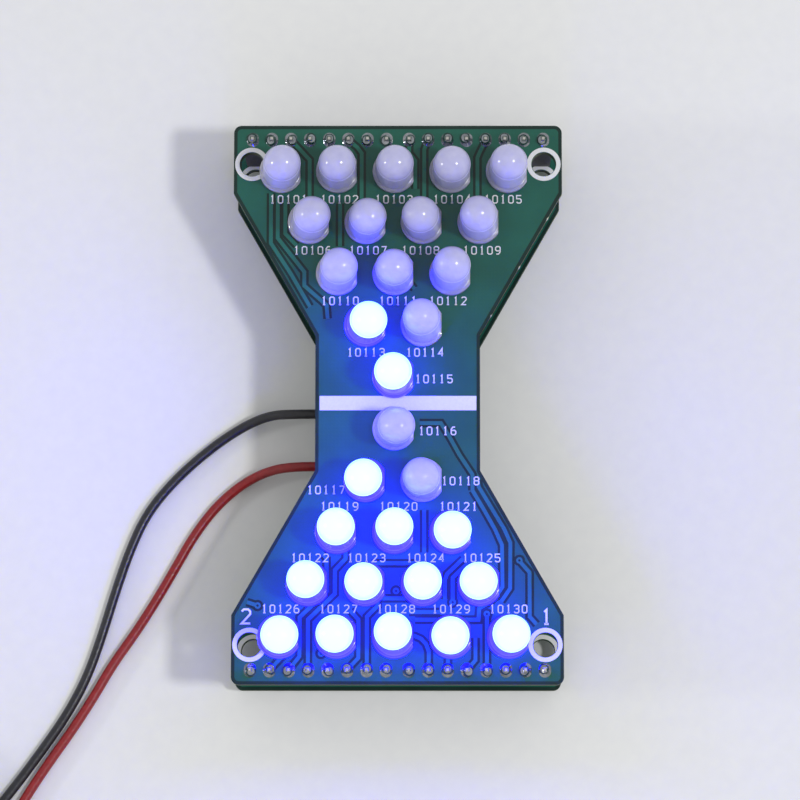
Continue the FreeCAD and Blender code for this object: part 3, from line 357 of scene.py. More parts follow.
# %% Routes
WIRE_WIDTH = 1.3
LEVEL = DECK + WIRE_WIDTH / 2
REST = WIRE_WIDTH / 2
BLACK_ROUTE = [
    (-10.95, 0.0, LEVEL),
    (-14.0, 0.0, LEVEL),
    (-17.5, 0.0, 2.25),
    (-21.4, -1.6, 0.85),
    (-25.6, -4.5, REST),
    (-30.2, -8.6, REST),
    (-33.9, -13.1, REST),
    (-36.2, -18.2, REST),
    (-38.1, -23.9, REST),
    (-39.8, -29.6, REST),
    (-41.8, -35.4, REST),
    (-44.6, -40.6, REST),
    (-48.1, -45.6, REST),
    (-51.8, -50.6, REST),
    (-55.2, -54.7, REST),
]
RED_ROUTE = [
    (-10.95, -7.1, LEVEL),
    (-14.0, -7.1, LEVEL),
    (-17.4, -7.5, 2.25),
    (-21.0, -9.1, 0.85),
    (-24.6, -12.2, REST),
    (-27.6, -16.2, REST),
    (-30.0, -20.5, REST),
    (-32.6, -25.0, REST),
    (-35.4, -29.4, REST),
    (-38.4, -33.6, REST),
    (-40.9, -38.0, REST),
    (-43.8, -42.5, REST),
    (-47.0, -47.0, REST),
    (-50.0, -51.6, REST),
    (-52.4, -55.9, REST),
]
print("route points:", len(BLACK_ROUTE), len(RED_ROUTE))

# %% Coils
MOUTH = 4.0
COIL_RADIUS = 8.2
COIL_STEP = 1.8
END_RUN = 1.3
STEP_TURN = 0.5
POINTS_PER_TURN = 16


def coil_points(last, heading, hand, turns):
    """A coil that winds inwards on the table, steps up and winds outwards on the first layer.

    It lies to the left of its heading if hand is 1, and to the right if it is -1.
    """
    way = Vector(heading).normalized()
    mouth = Vector(last[:2]) + way * MOUTH
    start = mouth + way * END_RUN
    side = Vector((-way.y, way.x)) * hand
    centre = start + side * COIL_RADIUS
    begin = math.atan2(-side.y, -side.x)
    low_turns = (turns - STEP_TURN) / 2
    points = [(*mouth, REST)]
    count = round(turns * POINTS_PER_TURN)
    for i in range(count + 1):
        t = turns * i / count
        share = min(max((t - low_turns) / STEP_TURN, 0), 1)
        reach = COIL_RADIUS - COIL_STEP * min(t, low_turns)
        reach -= COIL_STEP * STEP_TURN / math.pi * math.sin(math.pi * share)
        reach += COIL_STEP * max(t - low_turns - STEP_TURN, 0)
        angle = begin + hand * 2 * math.pi * t
        rise = COIL_STEP * share**2 * (3 - 2 * share)
        out = Vector((math.cos(angle), math.sin(angle))) * reach
        points.append((*(centre + out), REST + rise))
    tail = Vector(points[-1]) - Vector(points[-2])
    tail.z = 0
    end = Vector(points[-1]) + tail.normalized() * END_RUN
    return points + [tuple(end)], end, tail.normalized()


black_coil, black_end, black_way = coil_points(
    BLACK_ROUTE[-1], heading=(-0.75, -0.66), hand=-1, turns=3.0
)
red_coil, red_end, red_way = coil_points(
    RED_ROUTE[-1], heading=(-0.45, -0.89), hand=1, turns=3.1
)
print("coils end at", [round(c, 1) for c in black_end], [round(c, 1) for c in red_end])

# %% Lay the wires


def lay_wire(name, points, material):
    """A round wire on a NURBS spline through the air and along the table."""
    curve = bpy.data.curves.new(name, "CURVE")
    curve.dimensions = "3D"
    curve.bevel_depth = WIRE_WIDTH / 2 * MM
    curve.bevel_resolution = 5
    curve.use_fill_caps = True
    curve.resolution_u = 10
    spline = curve.splines.new("NURBS")
    spline.points.add(len(points) - 1)
    for control, spot in zip(spline.points, points):
        control.co = (*point(*spot), 1.0)
    spline.order_u = 3
    spline.use_endpoint_u = True
    curve.materials.append(material)
    wire = bpy.data.objects.new(name, curve)
    bpy.context.collection.objects.link(wire)
    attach(wire, STACK)
    return wire


black_wire = lay_wire("black_hookup_wire", BLACK_ROUTE + black_coil, black_pvc)
red_wire = lay_wire("red_hookup_wire", RED_ROUTE + red_coil, red_pvc)
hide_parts("black_wire", "black_coil")
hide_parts("red_wire", "red_coil")
print("wires laid, control points:", len(BLACK_ROUTE + black_coil), len(RED_ROUTE + red_coil))

# %% [markdown]
# ## Tinned metal and solder
# Pins, leads and strands are copper alloy with a coat of tin: pale, a little warm and satin, with
# fine drawing marks. Solder is tin too, which froze from a melt: glossy, so that the lamps show in
# it as small bright points, and in place of marks it has soft lumps nearly a millimetre wide. Its
# colour is painted darker and a little bluer than bright tin, as painted shade: a painted
# reflection of dark surroundings. The steel of the crystal's can, the tilt switch and the button's
# cover is nickel plated. A metal keeps the shader's own IOR, and its colour does the work.

# %% Metals


def metal(name, dark, light, rough, size, relief, stretch=(1, 1, 1)):
    """A metal finish with marks of a size and a depth in mm, longer the way it was drawn."""
    return grained(name, size, (dark, light), rough, relief, stretch, Metallic=1.0)


tinned = metal("tinned_brass_drawn", "#c2c0b9", "#d8d6d0", (0.22, 0.34), 0.25, 0.002, (1, 1, 0.2))
# The solder's two colours are painted dark, as painted shade for the dark surroundings it mirrors.
solder = metal("tin_solder_painted_shade", "#83878d", "#b2b6bc", (0.1, 0.2), 0.9, 0.03)
spring = metal("phosphor_bronze_stamped", "#a98c4d", "#c9ae6d", (0.25, 0.35), 0.3, 0.004)
nickel = metal("nickel_steel_drawn", "#acadae", "#c4c4c3", (0.24, 0.36), 0.5, 0.003, (0.3, 1, 1))
plated_ball = metal("plated_steel_ball", "#c2ae77", "#dccb98", (0.12, 0.2), 0.4, 0.002)
print("metals:", tinned.name, solder.name, spring.name, nickel.name, plated_ball.name)

# %% [markdown]
# ## The bare wire ends
# Each wire ends in 5 mm of bare strands, twisted and dipped in tin. Seven thin rods, one in the
# middle and six turned round it, give the twist that a plain rod lacks.

# %% Twisted strands
TIP_LENGTH = 5.0
STRAND_RADIUS = 0.115
STRAND_REACH = 0.235
STRAND_TURNS = 1.2
STRAND_STEPS = 24
STRANDS_ROUND = 6


def strands(name, start, way, node_name):
    """Seven tinned strands from a start in mm along a level direction."""
    bm = bmesh.new()
    heading = Matrix.Rotation(math.atan2(way.y, way.x), 4, "Z")
    along = heading @ Matrix.Rotation(math.pi / 2, 4, "Y")
    for k in range(STRANDS_ROUND + 1):
        radius = STRAND_REACH if k else 0
        loops = []
        for i in range(STRAND_STEPS + 1):
            angle = 2 * math.pi * (k / STRANDS_ROUND + STRAND_TURNS * i / STRAND_STEPS)
            spot = Vector((math.cos(angle) * radius, math.sin(angle) * radius, 0)) * MM
            spot.z = TIP_LENGTH * MM * i / STRAND_STEPS
            place = Matrix.Translation(point(*start)) @ along @ Matrix.Translation(spot)
            loop = bmesh.ops.create_circle(
                bm,
                cap_ends=i in (0, STRAND_STEPS),
                segments=8,
                radius=STRAND_RADIUS * MM,
                matrix=place,
            )["verts"]
            loops.append({e for v in loop for e in v.link_edges})
        for first, second in zip(loops, loops[1:]):
            bmesh.ops.bridge_loops(bm, edges=[e for e in first | second if len(e.link_faces) < 2])
    return piece(name, bm, [tinned], stands_for=[node_name])


black_tip = strands("black_wire_strands", black_end, black_way, "black_wire_tip")
red_tip = strands("red_wire_strands", red_end, red_way, "red_wire_tip")


# %% [markdown]
# ## Circuit board
# A board is glass cloth in epoxy with copper foil on its faces, coated with green solder mask.
# The mask is a thin lacquer. Over copper it looks lighter, over bare laminate nearly black, and
# the cloth below prints through as a faint weave. The cut sides show the laminate, a yellowish
# green in layers, here painted dark as painted shade on the sides, and sawing leaves them matt,
# while the lacquer is glossy. One material does faces and sides: the side's normal lies level,
# and that picks the laminate. The weave is drawn at 0.5 mm, the pitch of common glass cloth.

# %% Board materials
# The pitch of a wave texture whose scale is one, in metres.
WAVE_PITCH = math.pi / 10
WEAVE = 0.5
WEAVE_DEPTH = 0.004
WEAVE_WAVER = 0.6
LAMINATE_LAYER = 0.2
LAMINATE_WAVER = 1.5
MASK_CLOUD = 5.0
SAWN_ROUGH = 0.6


def waves(tree, pitch, direction, distortion):
    """Stripes with a pitch in mm along one direction of the object."""
    place = add(tree, "TexCoord").outputs["Object"]
    inputs = {"Vector": place, "Scale": WAVE_PITCH / (pitch * MM), "Distortion": distortion}
    return add(tree, "TexWave", inputs, bands_direction=direction).outputs["Fac"]


def mask(name, dark, light, rough):
    """Green solder mask on a board's faces, and sawn laminate on its sides."""
    material, tree, shader = finish(name, IOR=1.5, Specular_IOR_Level=0.4)
    face = grain(tree, shader, MASK_CLOUD, (dark, light), rough, 0.0)
    layers = waves(tree, LAMINATE_LAYER, "Z", LAMINATE_WAVER)
    # The laminate's two colours are painted dark, as painted shade on the cut sides.
    laminate = mix_colours(tree, layers, linear("#333d26"), linear("#4f583a"))
    normal = add(tree, "SeparateXYZ", {0: add(tree, "TexCoord").outputs["Normal"]}).outputs["Z"]
    level = add(tree, "Math", {0: normal}, operation="ABSOLUTE").outputs[0]
    on_face = add(tree, "Math", {0: level, 1: 0.5}, operation="GREATER_THAN").outputs[0]
    both = mix_colours(tree, on_face, laminate, face)
    tree.links.new(both, shader.inputs["Base Color"])
    polish = shader.inputs["Roughness"].links[0].from_socket
    inputs = {MIX_SHARE: on_face, MIX_VALUES[0]: SAWN_ROUGH, MIX_VALUES[1]: polish}
    sheen = add(tree, "Mix", inputs).outputs[0]
    tree.links.new(sheen, shader.inputs["Roughness"])
    threads = {i: waves(tree, WEAVE, way, WEAVE_WAVER) for i, way in enumerate("XY")}
    cloth = add(tree, "Math", threads, operation="MAXIMUM").outputs[0]
    relief = add(tree, "Bump", {"Height": cloth, "Distance": WEAVE_DEPTH * MM})
    tree.links.new(relief.outputs["Normal"], shader.inputs["Normal"])
    return material


pour_mask = mask("green_mask_over_copper", "#185446", "#1c5d4d", (0.16, 0.22))
track_mask = mask("green_mask_over_track", "#1f6353", "#246d5c", (0.16, 0.22))
bare_mask = mask("green_mask_over_laminate", "#0a251f", "#0d2e27", (0.2, 0.26))
dress(pour_mask, "led_board", "controller_board")
print("boards are dressed")

# %% [markdown]
# ## Copper under the mask
# Tracks are copper bands, and the copper around them is left standing as a ground plane with a
# clear gap on both sides. So each track is laid twice: a wide low band for its gaps, in the dark
# mask over laminate, and a narrower one on it for the copper. Where tracks meet, the copper lies
# over every gap, as it should. Lacquer runs off a narrow track before it sets, so there it is
# thinner and paler than on the plane. The bands are raised by hundredths of a millimetre, as
# lacquered copper is, and each by a hair more than the last, so that no two faces share one
# plane.
# A via is the same in the round: a gap, a pad and its drilling, under the mask all three.

# %% Tracks of the display board
TRACK = 0.5
GAP = 0.33
GAP_RISE = 0.012
TRACK_RISE = 0.045
LAYER = 0.0006
PIN_Y = 35.2
FACE_TRACKS = [
    # Lower left, from the pins up between the LEDs.
    [(-11.7, -35.2), (-11.7, -28.6), (-8.2, -25.2), (-8.2, -22.1), (-6.8, -20.6), (-6.8, -18.6)],
    [(-14.2, -35.2), (-12.8, -33.4), (-12.8, -28.3), (-9.3, -24.9), (-9.3, -20.6), (-9.9, -19.8)],
    [(-4.0, -35.2), (-4.0, -28.2), (-2.6, -26.8), (-2.6, -25.4)],
    [(-6.6, -35.2), (-5.1, -33.6), (-5.1, -28.6), (-6.2, -27.4)],
    [(-16.7, -35.2), (-15.2, -33.6), (-15.2, -31.6)],
    [(-18.31, -26.76), (-19.7, -26.3)],
    # Lower middle, between the LEDs of two rows.
    [(-3.4, -21.2), (2.4, -21.2)],
    [(-3.3, -25.8), (2.5, -25.8)],
    [(3.5, -14.2), (3.5, -19.8)],
    [(1.5, -27.6), (5.6, -27.6)],
    [(2.3, -28.6), (9.4, -28.6), (10.6, -28.6), (10.7, -27.1), (12.2, -26.2), (13.3, -25.0)],
    [(0.9, -30.6), (2.3, -30.75), (3.1, -31.1), (3.75, -31.8), (4.1, -32.8), (4.1, -35.2)],
    # Lower right, round the LEDs and along the slanted side.
    [(8.6, -20.6), (6.5, -22.6), (6.2, -23.4), (6.2, -25.9)],
    [(9.2, -21.2), (7.23, -23.1), (7.23, -26.3)],
    [(9.84, -11.6), (11.2, -13.9), (12.75, -16.65), (13.7, -18.8), (13.75, -24.3), (12.7, -25.8)],
    [(10.55, -10.2), (10.65, -11.1), (14.0, -16.7), (14.8, -18.5), (14.75, -24.5), (13.6, -26.2)],
    [(15.97, -20.9), (17.3, -22.4), (17.3, -28.2), (18.2, -29.2)],
    [(11.7, -27.9), (11.7, -35.2)],
    [(9.1, -35.2), (10.2, -33.9), (10.2, -31.0)],
    [(6.6, -35.2), (6.6, -33.6)],
    # The waist.
    [(2.9, -2.7), (5.7, -2.7), (6.76, -4.4), (8.14, -6.9), (9.84, -9.5), (9.84, -11.6)],
    # Upper half, from the pins down between the LEDs and along the left side.
    [(-14.2, 35.2), (-13.0, 33.9), (-11.7, 32.5), (-11.7, 24.2), (-10.4, 22.6)],
    [(-6.6, 35.2), (-5.4, 34.2), (-4.8, 33.4), (-4.8, 24.4)],
    [(4.0, 35.2), (3.5, 33.9), (3.5, 24.0), (2.2, 22.4)],
    [(11.7, 35.2), (10.9, 33.6), (10.55, 32.8), (10.55, 25.8)],
    [(1.5, 35.2), (1.5, 33.4), (2.3, 32.4), (2.3, 28.6)],
    [(-7.65, 26.6), (-7.65, 20.9)],
    [(-16.8, 28.0), (-16.8, 21.3), (-14.2, 17.3), (-11.6, 12.8)],
    [(-15.9, 27.4), (-15.9, 22.0), (-12.35, 17.45), (-12.35, 15.6), (-9.4, 13.0), (-9.25, 11.2)],
    [(-14.9, 27.2), (-14.9, 22.6), (-13.4, 21.0)],
    [(-1.5, 16.6), (1.0, 16.6), (2.2, 15.2)],
    [(-0.45, 12.9), (-0.45, 16.2)],
]
FACE_VIAS = [(-18.31, -26.76), (-9.98, -33.04), (-0.19, -24.83), (7.23, -26.31), (11.69, -27.85)]
FACE_VIAS += [(15.97, -20.82)]
print("tracks on the face:", len(FACE_TRACKS), "vias:", len(FACE_VIAS))

# %% The boards' outline
HALF_WIDTH = 21.75
HALF_LENGTH = 37.1
SHOULDER = 28.0
HALF_NECK = 10.85
NECK_END = 9.1
CORNER = 1.0
MARGIN = 0.45


def outline(inset, steps=5):
    """The hourglass outline moved inwards by a distance, with its outer corners rounded."""
    slope = math.atan2(HALF_WIDTH - HALF_NECK, SHOULDER - NECK_END)
    slide = inset * math.tan(slope / 2)
    quarter = []
    for i in range(steps + 1):
        angle = math.pi / 2 * (1 - i / steps)
        radius = CORNER - inset
        x = HALF_WIDTH - CORNER + radius * math.cos(angle)
        quarter.append((x, HALF_LENGTH - CORNER + radius * math.sin(angle)))
    quarter += [(HALF_WIDTH - inset, SHOULDER + slide), (HALF_NECK - inset, NECK_END - slide)]
    right = quarter + [(x, -y) for x, y in reversed(quarter)]
    spots = right + [(-x, y) for x, y in reversed(right)]
    return spots + spots[:1]


print("outline points:", len(outline(MARGIN)))

# %% Lay the copper
VIA_RADIUS = 0.42
DRILL_RADIUS = 0.16


def copper(name, tracks, vias, level, way):
    """The gaps and the copper of one face, up or down: two pieces, the copper over the gaps."""
    gaps = bmesh.new()
    bands = bmesh.new()
    for i, track in enumerate(tracks):
        band(gaps, track, TRACK + 2 * GAP, level, (GAP_RISE + LAYER * i) * way)
        band(bands, track, TRACK, level, (TRACK_RISE + LAYER * i) * way)
    band(gaps, outline(MARGIN / 2), MARGIN, level, (GAP_RISE - LAYER) * way)
    above = LAYER * (len(tracks) + 1)
    for i, (x, y) in enumerate(vias):
        disc(gaps, x, y, VIA_RADIUS + GAP, level, (GAP_RISE + above + LAYER * i) * way)
        disc(bands, x, y, VIA_RADIUS, level, (TRACK_RISE + above) * way)
        disc(gaps, x, y, DRILL_RADIUS, level, (TRACK_RISE + above + LAYER) * way)
    piece(name + "_gaps", gaps, [bare_mask])
    piece(name + "_copper", bands, [track_mask])


copper("display_face", FACE_TRACKS, FACE_VIAS, FACE, 1)

# %% [markdown]
# ## Remains of the tabs
# Boards are milled out of a larger panel and hang in it by small tabs until they are snapped off.
# The broken glass cloth stays behind as nubs on the edge. Three of them stand on the upper right
# side, and their pale colour is a painted highlight for the glints of light along that edge. Each
# is a small ball, drawn long along the edge and flat across it.

# %% Tab remains
TAB_HEIGHTS = (24.6, 18.1, 11.6)
TAB_SIZE = (0.34, 0.1, 0.34)
TAB_DEPTH = 0.3
# The pale colour of the nubs is a painted highlight: glints of light along the edge.
glint_laminate = grained(
    "glass_laminate_painted_glint", 0.2, ("#b6baa0", "#cfd2bc"), (0.16, 0.3), 0.004, IOR=1.5
)
rise = SHOULDER - NECK_END
run = HALF_WIDTH - HALF_NECK
along = Matrix.Rotation(math.atan2(rise, run), 4, "Z")
tabs = bmesh.new()
for y in TAB_HEIGHTS:
    x = HALF_NECK + run * (y - NECK_END) / rise
    ball = bmesh.new()
    bmesh.ops.create_uvsphere(ball, u_segments=20, v_segments=12, radius=MM)
    place = Matrix.Translation(point(x, y, FACE - TAB_DEPTH))
    ball.transform(place @ along @ Matrix.Diagonal((*TAB_SIZE, 1)))
    join(tabs, ball)
piece("display_board_tab_remains", tabs, [glint_laminate], smooth=60)

# %% [markdown]
# ## Copper of the other faces
# The controller board joins the chip's legs to the sockets. Its tracks leave the chip at one
# height each, run outwards at a slant, turn by 45 degrees and go straight to their pin. All four
# quarters are the same, so one quarter is made and turned over. Underneath, tracks from three
# more legs of each quarter run between the chip's rows to the three inner pins. The display
# board's back has a track along each of the longer rows of LEDs and a short one at every other
# pin.

# %% Tracks of the controller board
PIN_PITCH = 2.54
HALF_PITCH = PIN_PITCH / 2
STRIP_GAP = 2.97
CHIP_ROW = 7.62
# The chip's outermost leg, in pitches from the middle.
LAST_LEG = 9.5
VIA_X = 3.4
VIA_Y = 8.0
PAD_X = -9.85
PAD_YS = (0.0, -7.1)
# The underside's tracks cut a corner, run along beside the middle and spread to their pins.
RUN_X = 1.4
RUN_STEP = 1.1
RUN_CORNER = 1.2
RUN_END = 31.0
PIN_TURN = 33.2
STUB_END = 32.6
DECK_QUARTER = []
BELOW_QUARTER = []
for i in range(4):
    pin_x = STRIP_GAP / 2 + (3 + i) * PIN_PITCH
    leg_y = (LAST_LEG - i) * PIN_PITCH
    turn_y = leg_y + pin_x - CHIP_ROW
    DECK_QUARTER.append([(CHIP_ROW, leg_y), (pin_x, turn_y), (pin_x, PIN_Y)])
for i in range(3):
    pin_x = STRIP_GAP / 2 + i * PIN_PITCH
    leg_y = (LAST_LEG - 4 - i) * PIN_PITCH
    run_x = RUN_X + RUN_STEP * i
    inner = [(CHIP_ROW, leg_y), (run_x + RUN_CORNER, leg_y), (run_x, leg_y + RUN_CORNER)]
    BELOW_QUARTER.append(inner + [(run_x, RUN_END), (pin_x, PIN_TURN), (pin_x, PIN_Y)])
CORNERS = [(sx, sy) for sx in (-1, 1) for sy in (-1, 1)]
DECK_TRACKS = [[(sx * x, sy * y) for x, y in path] for sx, sy in CORNERS for path in DECK_QUARTER]
for sx in (-1, 1):
    inner = [(sx * VIA_X, 3.1), (sx * VIA_X, VIA_Y)]
    DECK_TRACKS.append([(sx * CHIP_ROW, HALF_PITCH), (sx * 5.2, HALF_PITCH)] + inner)
DECK_TRACKS += [[(PAD_X, PAD_YS[0]), (PAD_X, 3.0), (-8.9, 3.9), (-CHIP_ROW, 3.81)]]
DECK_TRACKS += [[(PAD_X, PAD_YS[1]), (PAD_X, -9.4), (-9.1, -10.16), (-CHIP_ROW, -10.16)]]
DECK_VIAS = [(sx * VIA_X, VIA_Y) for sx in (-1, 1)] + [(0.0, y) for y in (-14.0, -5.0, 14.0)]
BELOW_TRACKS = [[(sx * x, sy * y) for x, y in path] for sx, sy in CORNERS for path in BELOW_QUARTER]
BELOW_TRACKS += [[(0.0, -14.0), (0.0, 14.0)]]
BELOW_TRACKS += [[(sx * VIA_X, VIA_Y), (0.0, VIA_Y - VIA_X)] for sx in (1, -1)]
BACK_TRACKS = [[(-15.0, y), (15.0, y)] for y in (-29.2, 29.2)]
BACK_TRACKS += [[(-11.5, y), (11.0, y)] for y in (-22.3, 22.3)]
BACK_TRACKS += [[(-7.8, y), (7.2, y)] for y in (-15.5, 15.5)]
for sx, sy in CORNERS:
    for i in (1, 3, 5):
        pin_x = sx * (STRIP_GAP / 2 + PIN_PITCH * i)
        BACK_TRACKS.append([(pin_x, sy * PIN_Y), (pin_x, sy * STUB_END)])
copper("controller_deck", DECK_TRACKS, DECK_VIAS, DECK, 1)
copper("controller_underside", BELOW_TRACKS, DECK_VIAS, UNDERSIDE, -1)
copper("display_back", BACK_TRACKS, FACE_VIAS, BACK, -1)

# %% [markdown]
# ## Printing
# The white printing on a board is ink pressed through a screen, so it is thin, matt and a little
# uneven at its edges. Here it is a ring round each mounting hole, a bar across the waist, a
# number at each LED and one at each lower corner. The letters of the original are left out, and
# plain numbers stand in their places: 101 for the board and two digits for the LED. A number is
# drawn with strokes of one width, as the plotter fonts of circuit boards are, and each stroke is
# one of the flat bands from above.

# %% Ink
ink = grained(
    "white_ink_screen_printed", 0.3, ("#d9dbdc", "#e0e2e2"), (0.5, 0.6), 0.002, IOR=1.5
)
print("ink:", ink.name)

# %% Numbers
# The strokes of each digit, on a grid 4 wide and 7 high.
STROKES = {
    "0": [[(1, 0), (3, 0), (4, 1), (4, 6), (3, 7), (1, 7), (0, 6), (0, 1), (1, 0)]],
    "1": [[(1, 6), (2, 7), (2, 0)], [(1, 0), (3, 0)]],
    "2": [[(0, 6), (1, 7), (3, 7), (4, 6), (4, 4.6), (0, 0), (4, 0)]],
    "3": [[(0, 6), (1, 7), (3, 7), (4, 6), (4, 4.5), (3, 3.7), (1.4, 3.7)]],
    "4": [[(3, 0), (3, 7), (0, 2.2), (4, 2.2)]],
    "5": [[(4, 7), (0, 7), (0, 4), (3, 4), (4, 3), (4, 1), (3, 0), (1, 0), (0, 1)]],
    "6": [[(3.4, 7), (1.4, 7), (0, 5), (0, 1), (1, 0), (3, 0), (4, 1), (4, 3), (3, 4), (0, 4)]],
    "7": [[(0, 7), (4, 7), (1.4, 0)]],
    "8": [[(1, 3.7), (0, 4.5), (0, 6), (1, 7), (3, 7), (4, 6), (4, 4.5), (3, 3.7), (1, 3.7)]],
    "9": [[(0.6, 0), (2.6, 0), (4, 2), (4, 6), (3, 7), (1, 7), (0, 6), (0, 4), (1, 3), (4, 3)]],
}
STROKES["3"] += [[(3, 3.7), (4, 2.8), (4, 1), (3, 0), (1, 0), (0, 1)]]
STROKES["8"] += [[(1, 3.7), (0, 2.8), (0, 1), (1, 0), (3, 0), (4, 1), (4, 2.8), (3, 3.7)]]
GRID_HEIGHT = 7
GRID_WIDTH = 4
DIGIT_WIDTH = 0.6
DIGIT_PITCH = 1.05
INK_BASE = 0.03
INK_RISE = 0.06


def number(bm, text, x, y, height, stroke, level):
    """Writes digits with their middle at x, y. Width and pitch are shares of the height."""
    width = DIGIT_WIDTH * height
    pitch = DIGIT_PITCH * height
    left = x - (pitch * (len(text) - 1) + width) / 2
    for i, digit in enumerate(text):
        for path in STROKES[digit]:
            spots = []
            for across, up in path:
                spot_x = left + pitch * i + across / GRID_WIDTH * width
                spots.append((spot_x, y + (up / GRID_HEIGHT - 0.5) * height))
            band(bm, spots, stroke, level + INK_BASE, INK_RISE)


# Where each LED's number stands, as (x, y) from the middle of the board, in reading order.
NUMBER_PLACES = [(x, 27.18) for x in (-14.5, -7.73, -0.51, 7.18, 13.94)]
NUMBER_PLACES += [(x, 20.33) for x in (-11.29, -3.94, 3.01, 11.14)]
NUMBER_PLACES += [(x, 13.57) for x in (-7.63, 0.03, 6.64)]
NUMBER_PLACES += [(-4.18, 6.7), (3.6, 6.7)]
NUMBER_PLACES += [(4.79, 3.17), (5.25, -3.73)]
NUMBER_PLACES += [(-9.4, -11.54), (8.27, -10.35)]
NUMBER_PLACES += [(x, -13.72) for x in (-7.62, 0.13, 8.0)]
NUMBER_PLACES += [(x, -20.5) for x in (-11.47, -4.06, 3.67, 11.01)]
NUMBER_PLACES += [(x, -27.2) for x in (-15.31, -7.71, -0.19, 7.01, 14.53)]
print("numbers:", len(NUMBER_PLACES))

# %% Print the display board
HOLE_X = 19.35
HOLE_Y = 31.9
RING_INNER = 1.66
RING_OUTER = 2.24
FIRST_NUMBER = 10101
LABEL_HEIGHT = 1.0
LABEL_STROKE = 0.15
CORNER_NUMBERS = [("2", -19.82, -28.18), ("1", 19.49, -28.24)]
CORNER_HEIGHT = 1.85
CORNER_STROKE = 0.26
BAR_ENDS = [(-10.28, -0.05), (10.37, -0.05)]
BAR_WIDTH = 1.9


def hole_rings(bm, level):
    """The printed rings round the four mounting holes."""
    for sx, sy in CORNERS:
        ring(bm, sx * HOLE_X, sy * HOLE_Y, RING_INNER, RING_OUTER, level + INK_BASE, INK_RISE)


printing = bmesh.new()
for i, (x, y) in enumerate(NUMBER_PLACES):
    number(printing, str(FIRST_NUMBER + i), x, y, LABEL_HEIGHT, LABEL_STROKE, FACE)
for digit, x, y in CORNER_NUMBERS:
    number(printing, digit, x, y, CORNER_HEIGHT, CORNER_STROKE, FACE)
hole_rings(printing, FACE)
band(printing, BAR_ENDS, BAR_WIDTH, FACE + INK_BASE, INK_RISE)
piece("display_face_printing", printing, [ink])

# %% [markdown]
# ## Printing of the controller board
# This board carries rings round its holes too, which show through the display board's holes. Its
# parts have outlines: a rectangle round the chip's socket, the crystal, the disc capacitors, the
# resistor and the tilt switch, and a ring round the reset capacitor. Each is a bit larger than
# its part, so that it stays visible, and five plain numbers stand beside them.

# %% Print the controller board
FRAME_STROKE = 0.2
FRAME_AIR = 0.45
FRAMED = [("crystal",), ("load_capacitors",), ("reset_resistor",), ("chip_socket",)]
FRAMED += [("tilt_switch_can", "tilt_switch_base")]
CAN_X = 7.2
CAN_Y = 29.5
CAN_RING_INNER = 2.75
CAN_RING_OUTER = 2.95
DECK_NUMBERS = [("1", 3.4, 31.6), ("2", -12.4, 30.6), ("3", 1.4, -31.6)]
DECK_NUMBERS += [("4", -9.9, 9.6), ("5", 11.6, -18.4)]
MARK_HEIGHT = 1.1
MARK_STROKE = 0.16


def printed_frame(bm, *names):
    """A printed rectangle round one or more parts of the controller board."""
    x0 = min(low(name).x for name in names) - FRAME_AIR
    y0 = min(low(name).y for name in names) - FRAME_AIR
    x1 = max(high(name).x for name in names) + FRAME_AIR
    y1 = max(high(name).y for name in names) + FRAME_AIR
    path = [(x0, y0), (x1, y0), (x1, y1), (x0, y1), (x0, y0)]
    band(bm, path, FRAME_STROKE, DECK + INK_BASE, INK_RISE)


printing = bmesh.new()
hole_rings(printing, DECK)
for names in FRAMED:
    printed_frame(printing, *names)
ring(printing, CAN_X, CAN_Y, CAN_RING_INNER, CAN_RING_OUTER, DECK + INK_BASE, INK_RISE)
for digit, x, y in DECK_NUMBERS:
    number(printing, digit, x, y, MARK_HEIGHT, MARK_STROKE, DECK)
piece("controller_deck_printing", printing, [ink])

# %% [markdown]
# ## LED lenses
# A round LED is cast: its lead frame is dipped in a mould full of liquid epoxy, which sets to a
# dome on a barrel with a rim, and a flat on the rim marks one lead. These lenses are milky, with
# a fine powder in the epoxy that spreads the light. The profile is spun once round the axis, the
# flat is a cut that takes off what lies past it, and a fine ledge under the dome is where the two
# halves of the mould meet. Hand-soldered LEDs never stand quite upright, so each lens leans by
# what the photograph shows: the higher a point, the further it moves aside.

# %% Lens shape
RIM_RADIUS = 2.9
RIM_HEIGHT = 1.0
BARREL_RADIUS = 2.45
LEDGE = 0.09
FLAT_REACH = 2.5
LENS_HEIGHT = 8.6
BARREL_TOP = LENS_HEIGHT - BARREL_RADIUS
# The heights from which a face belongs to the barrel and to the dome.
BARREL_FROM = RIM_HEIGHT + 0.02
DOME_FROM = BARREL_TOP - 0.1
LENS_STEPS = 56
DOME_STEPS = 12


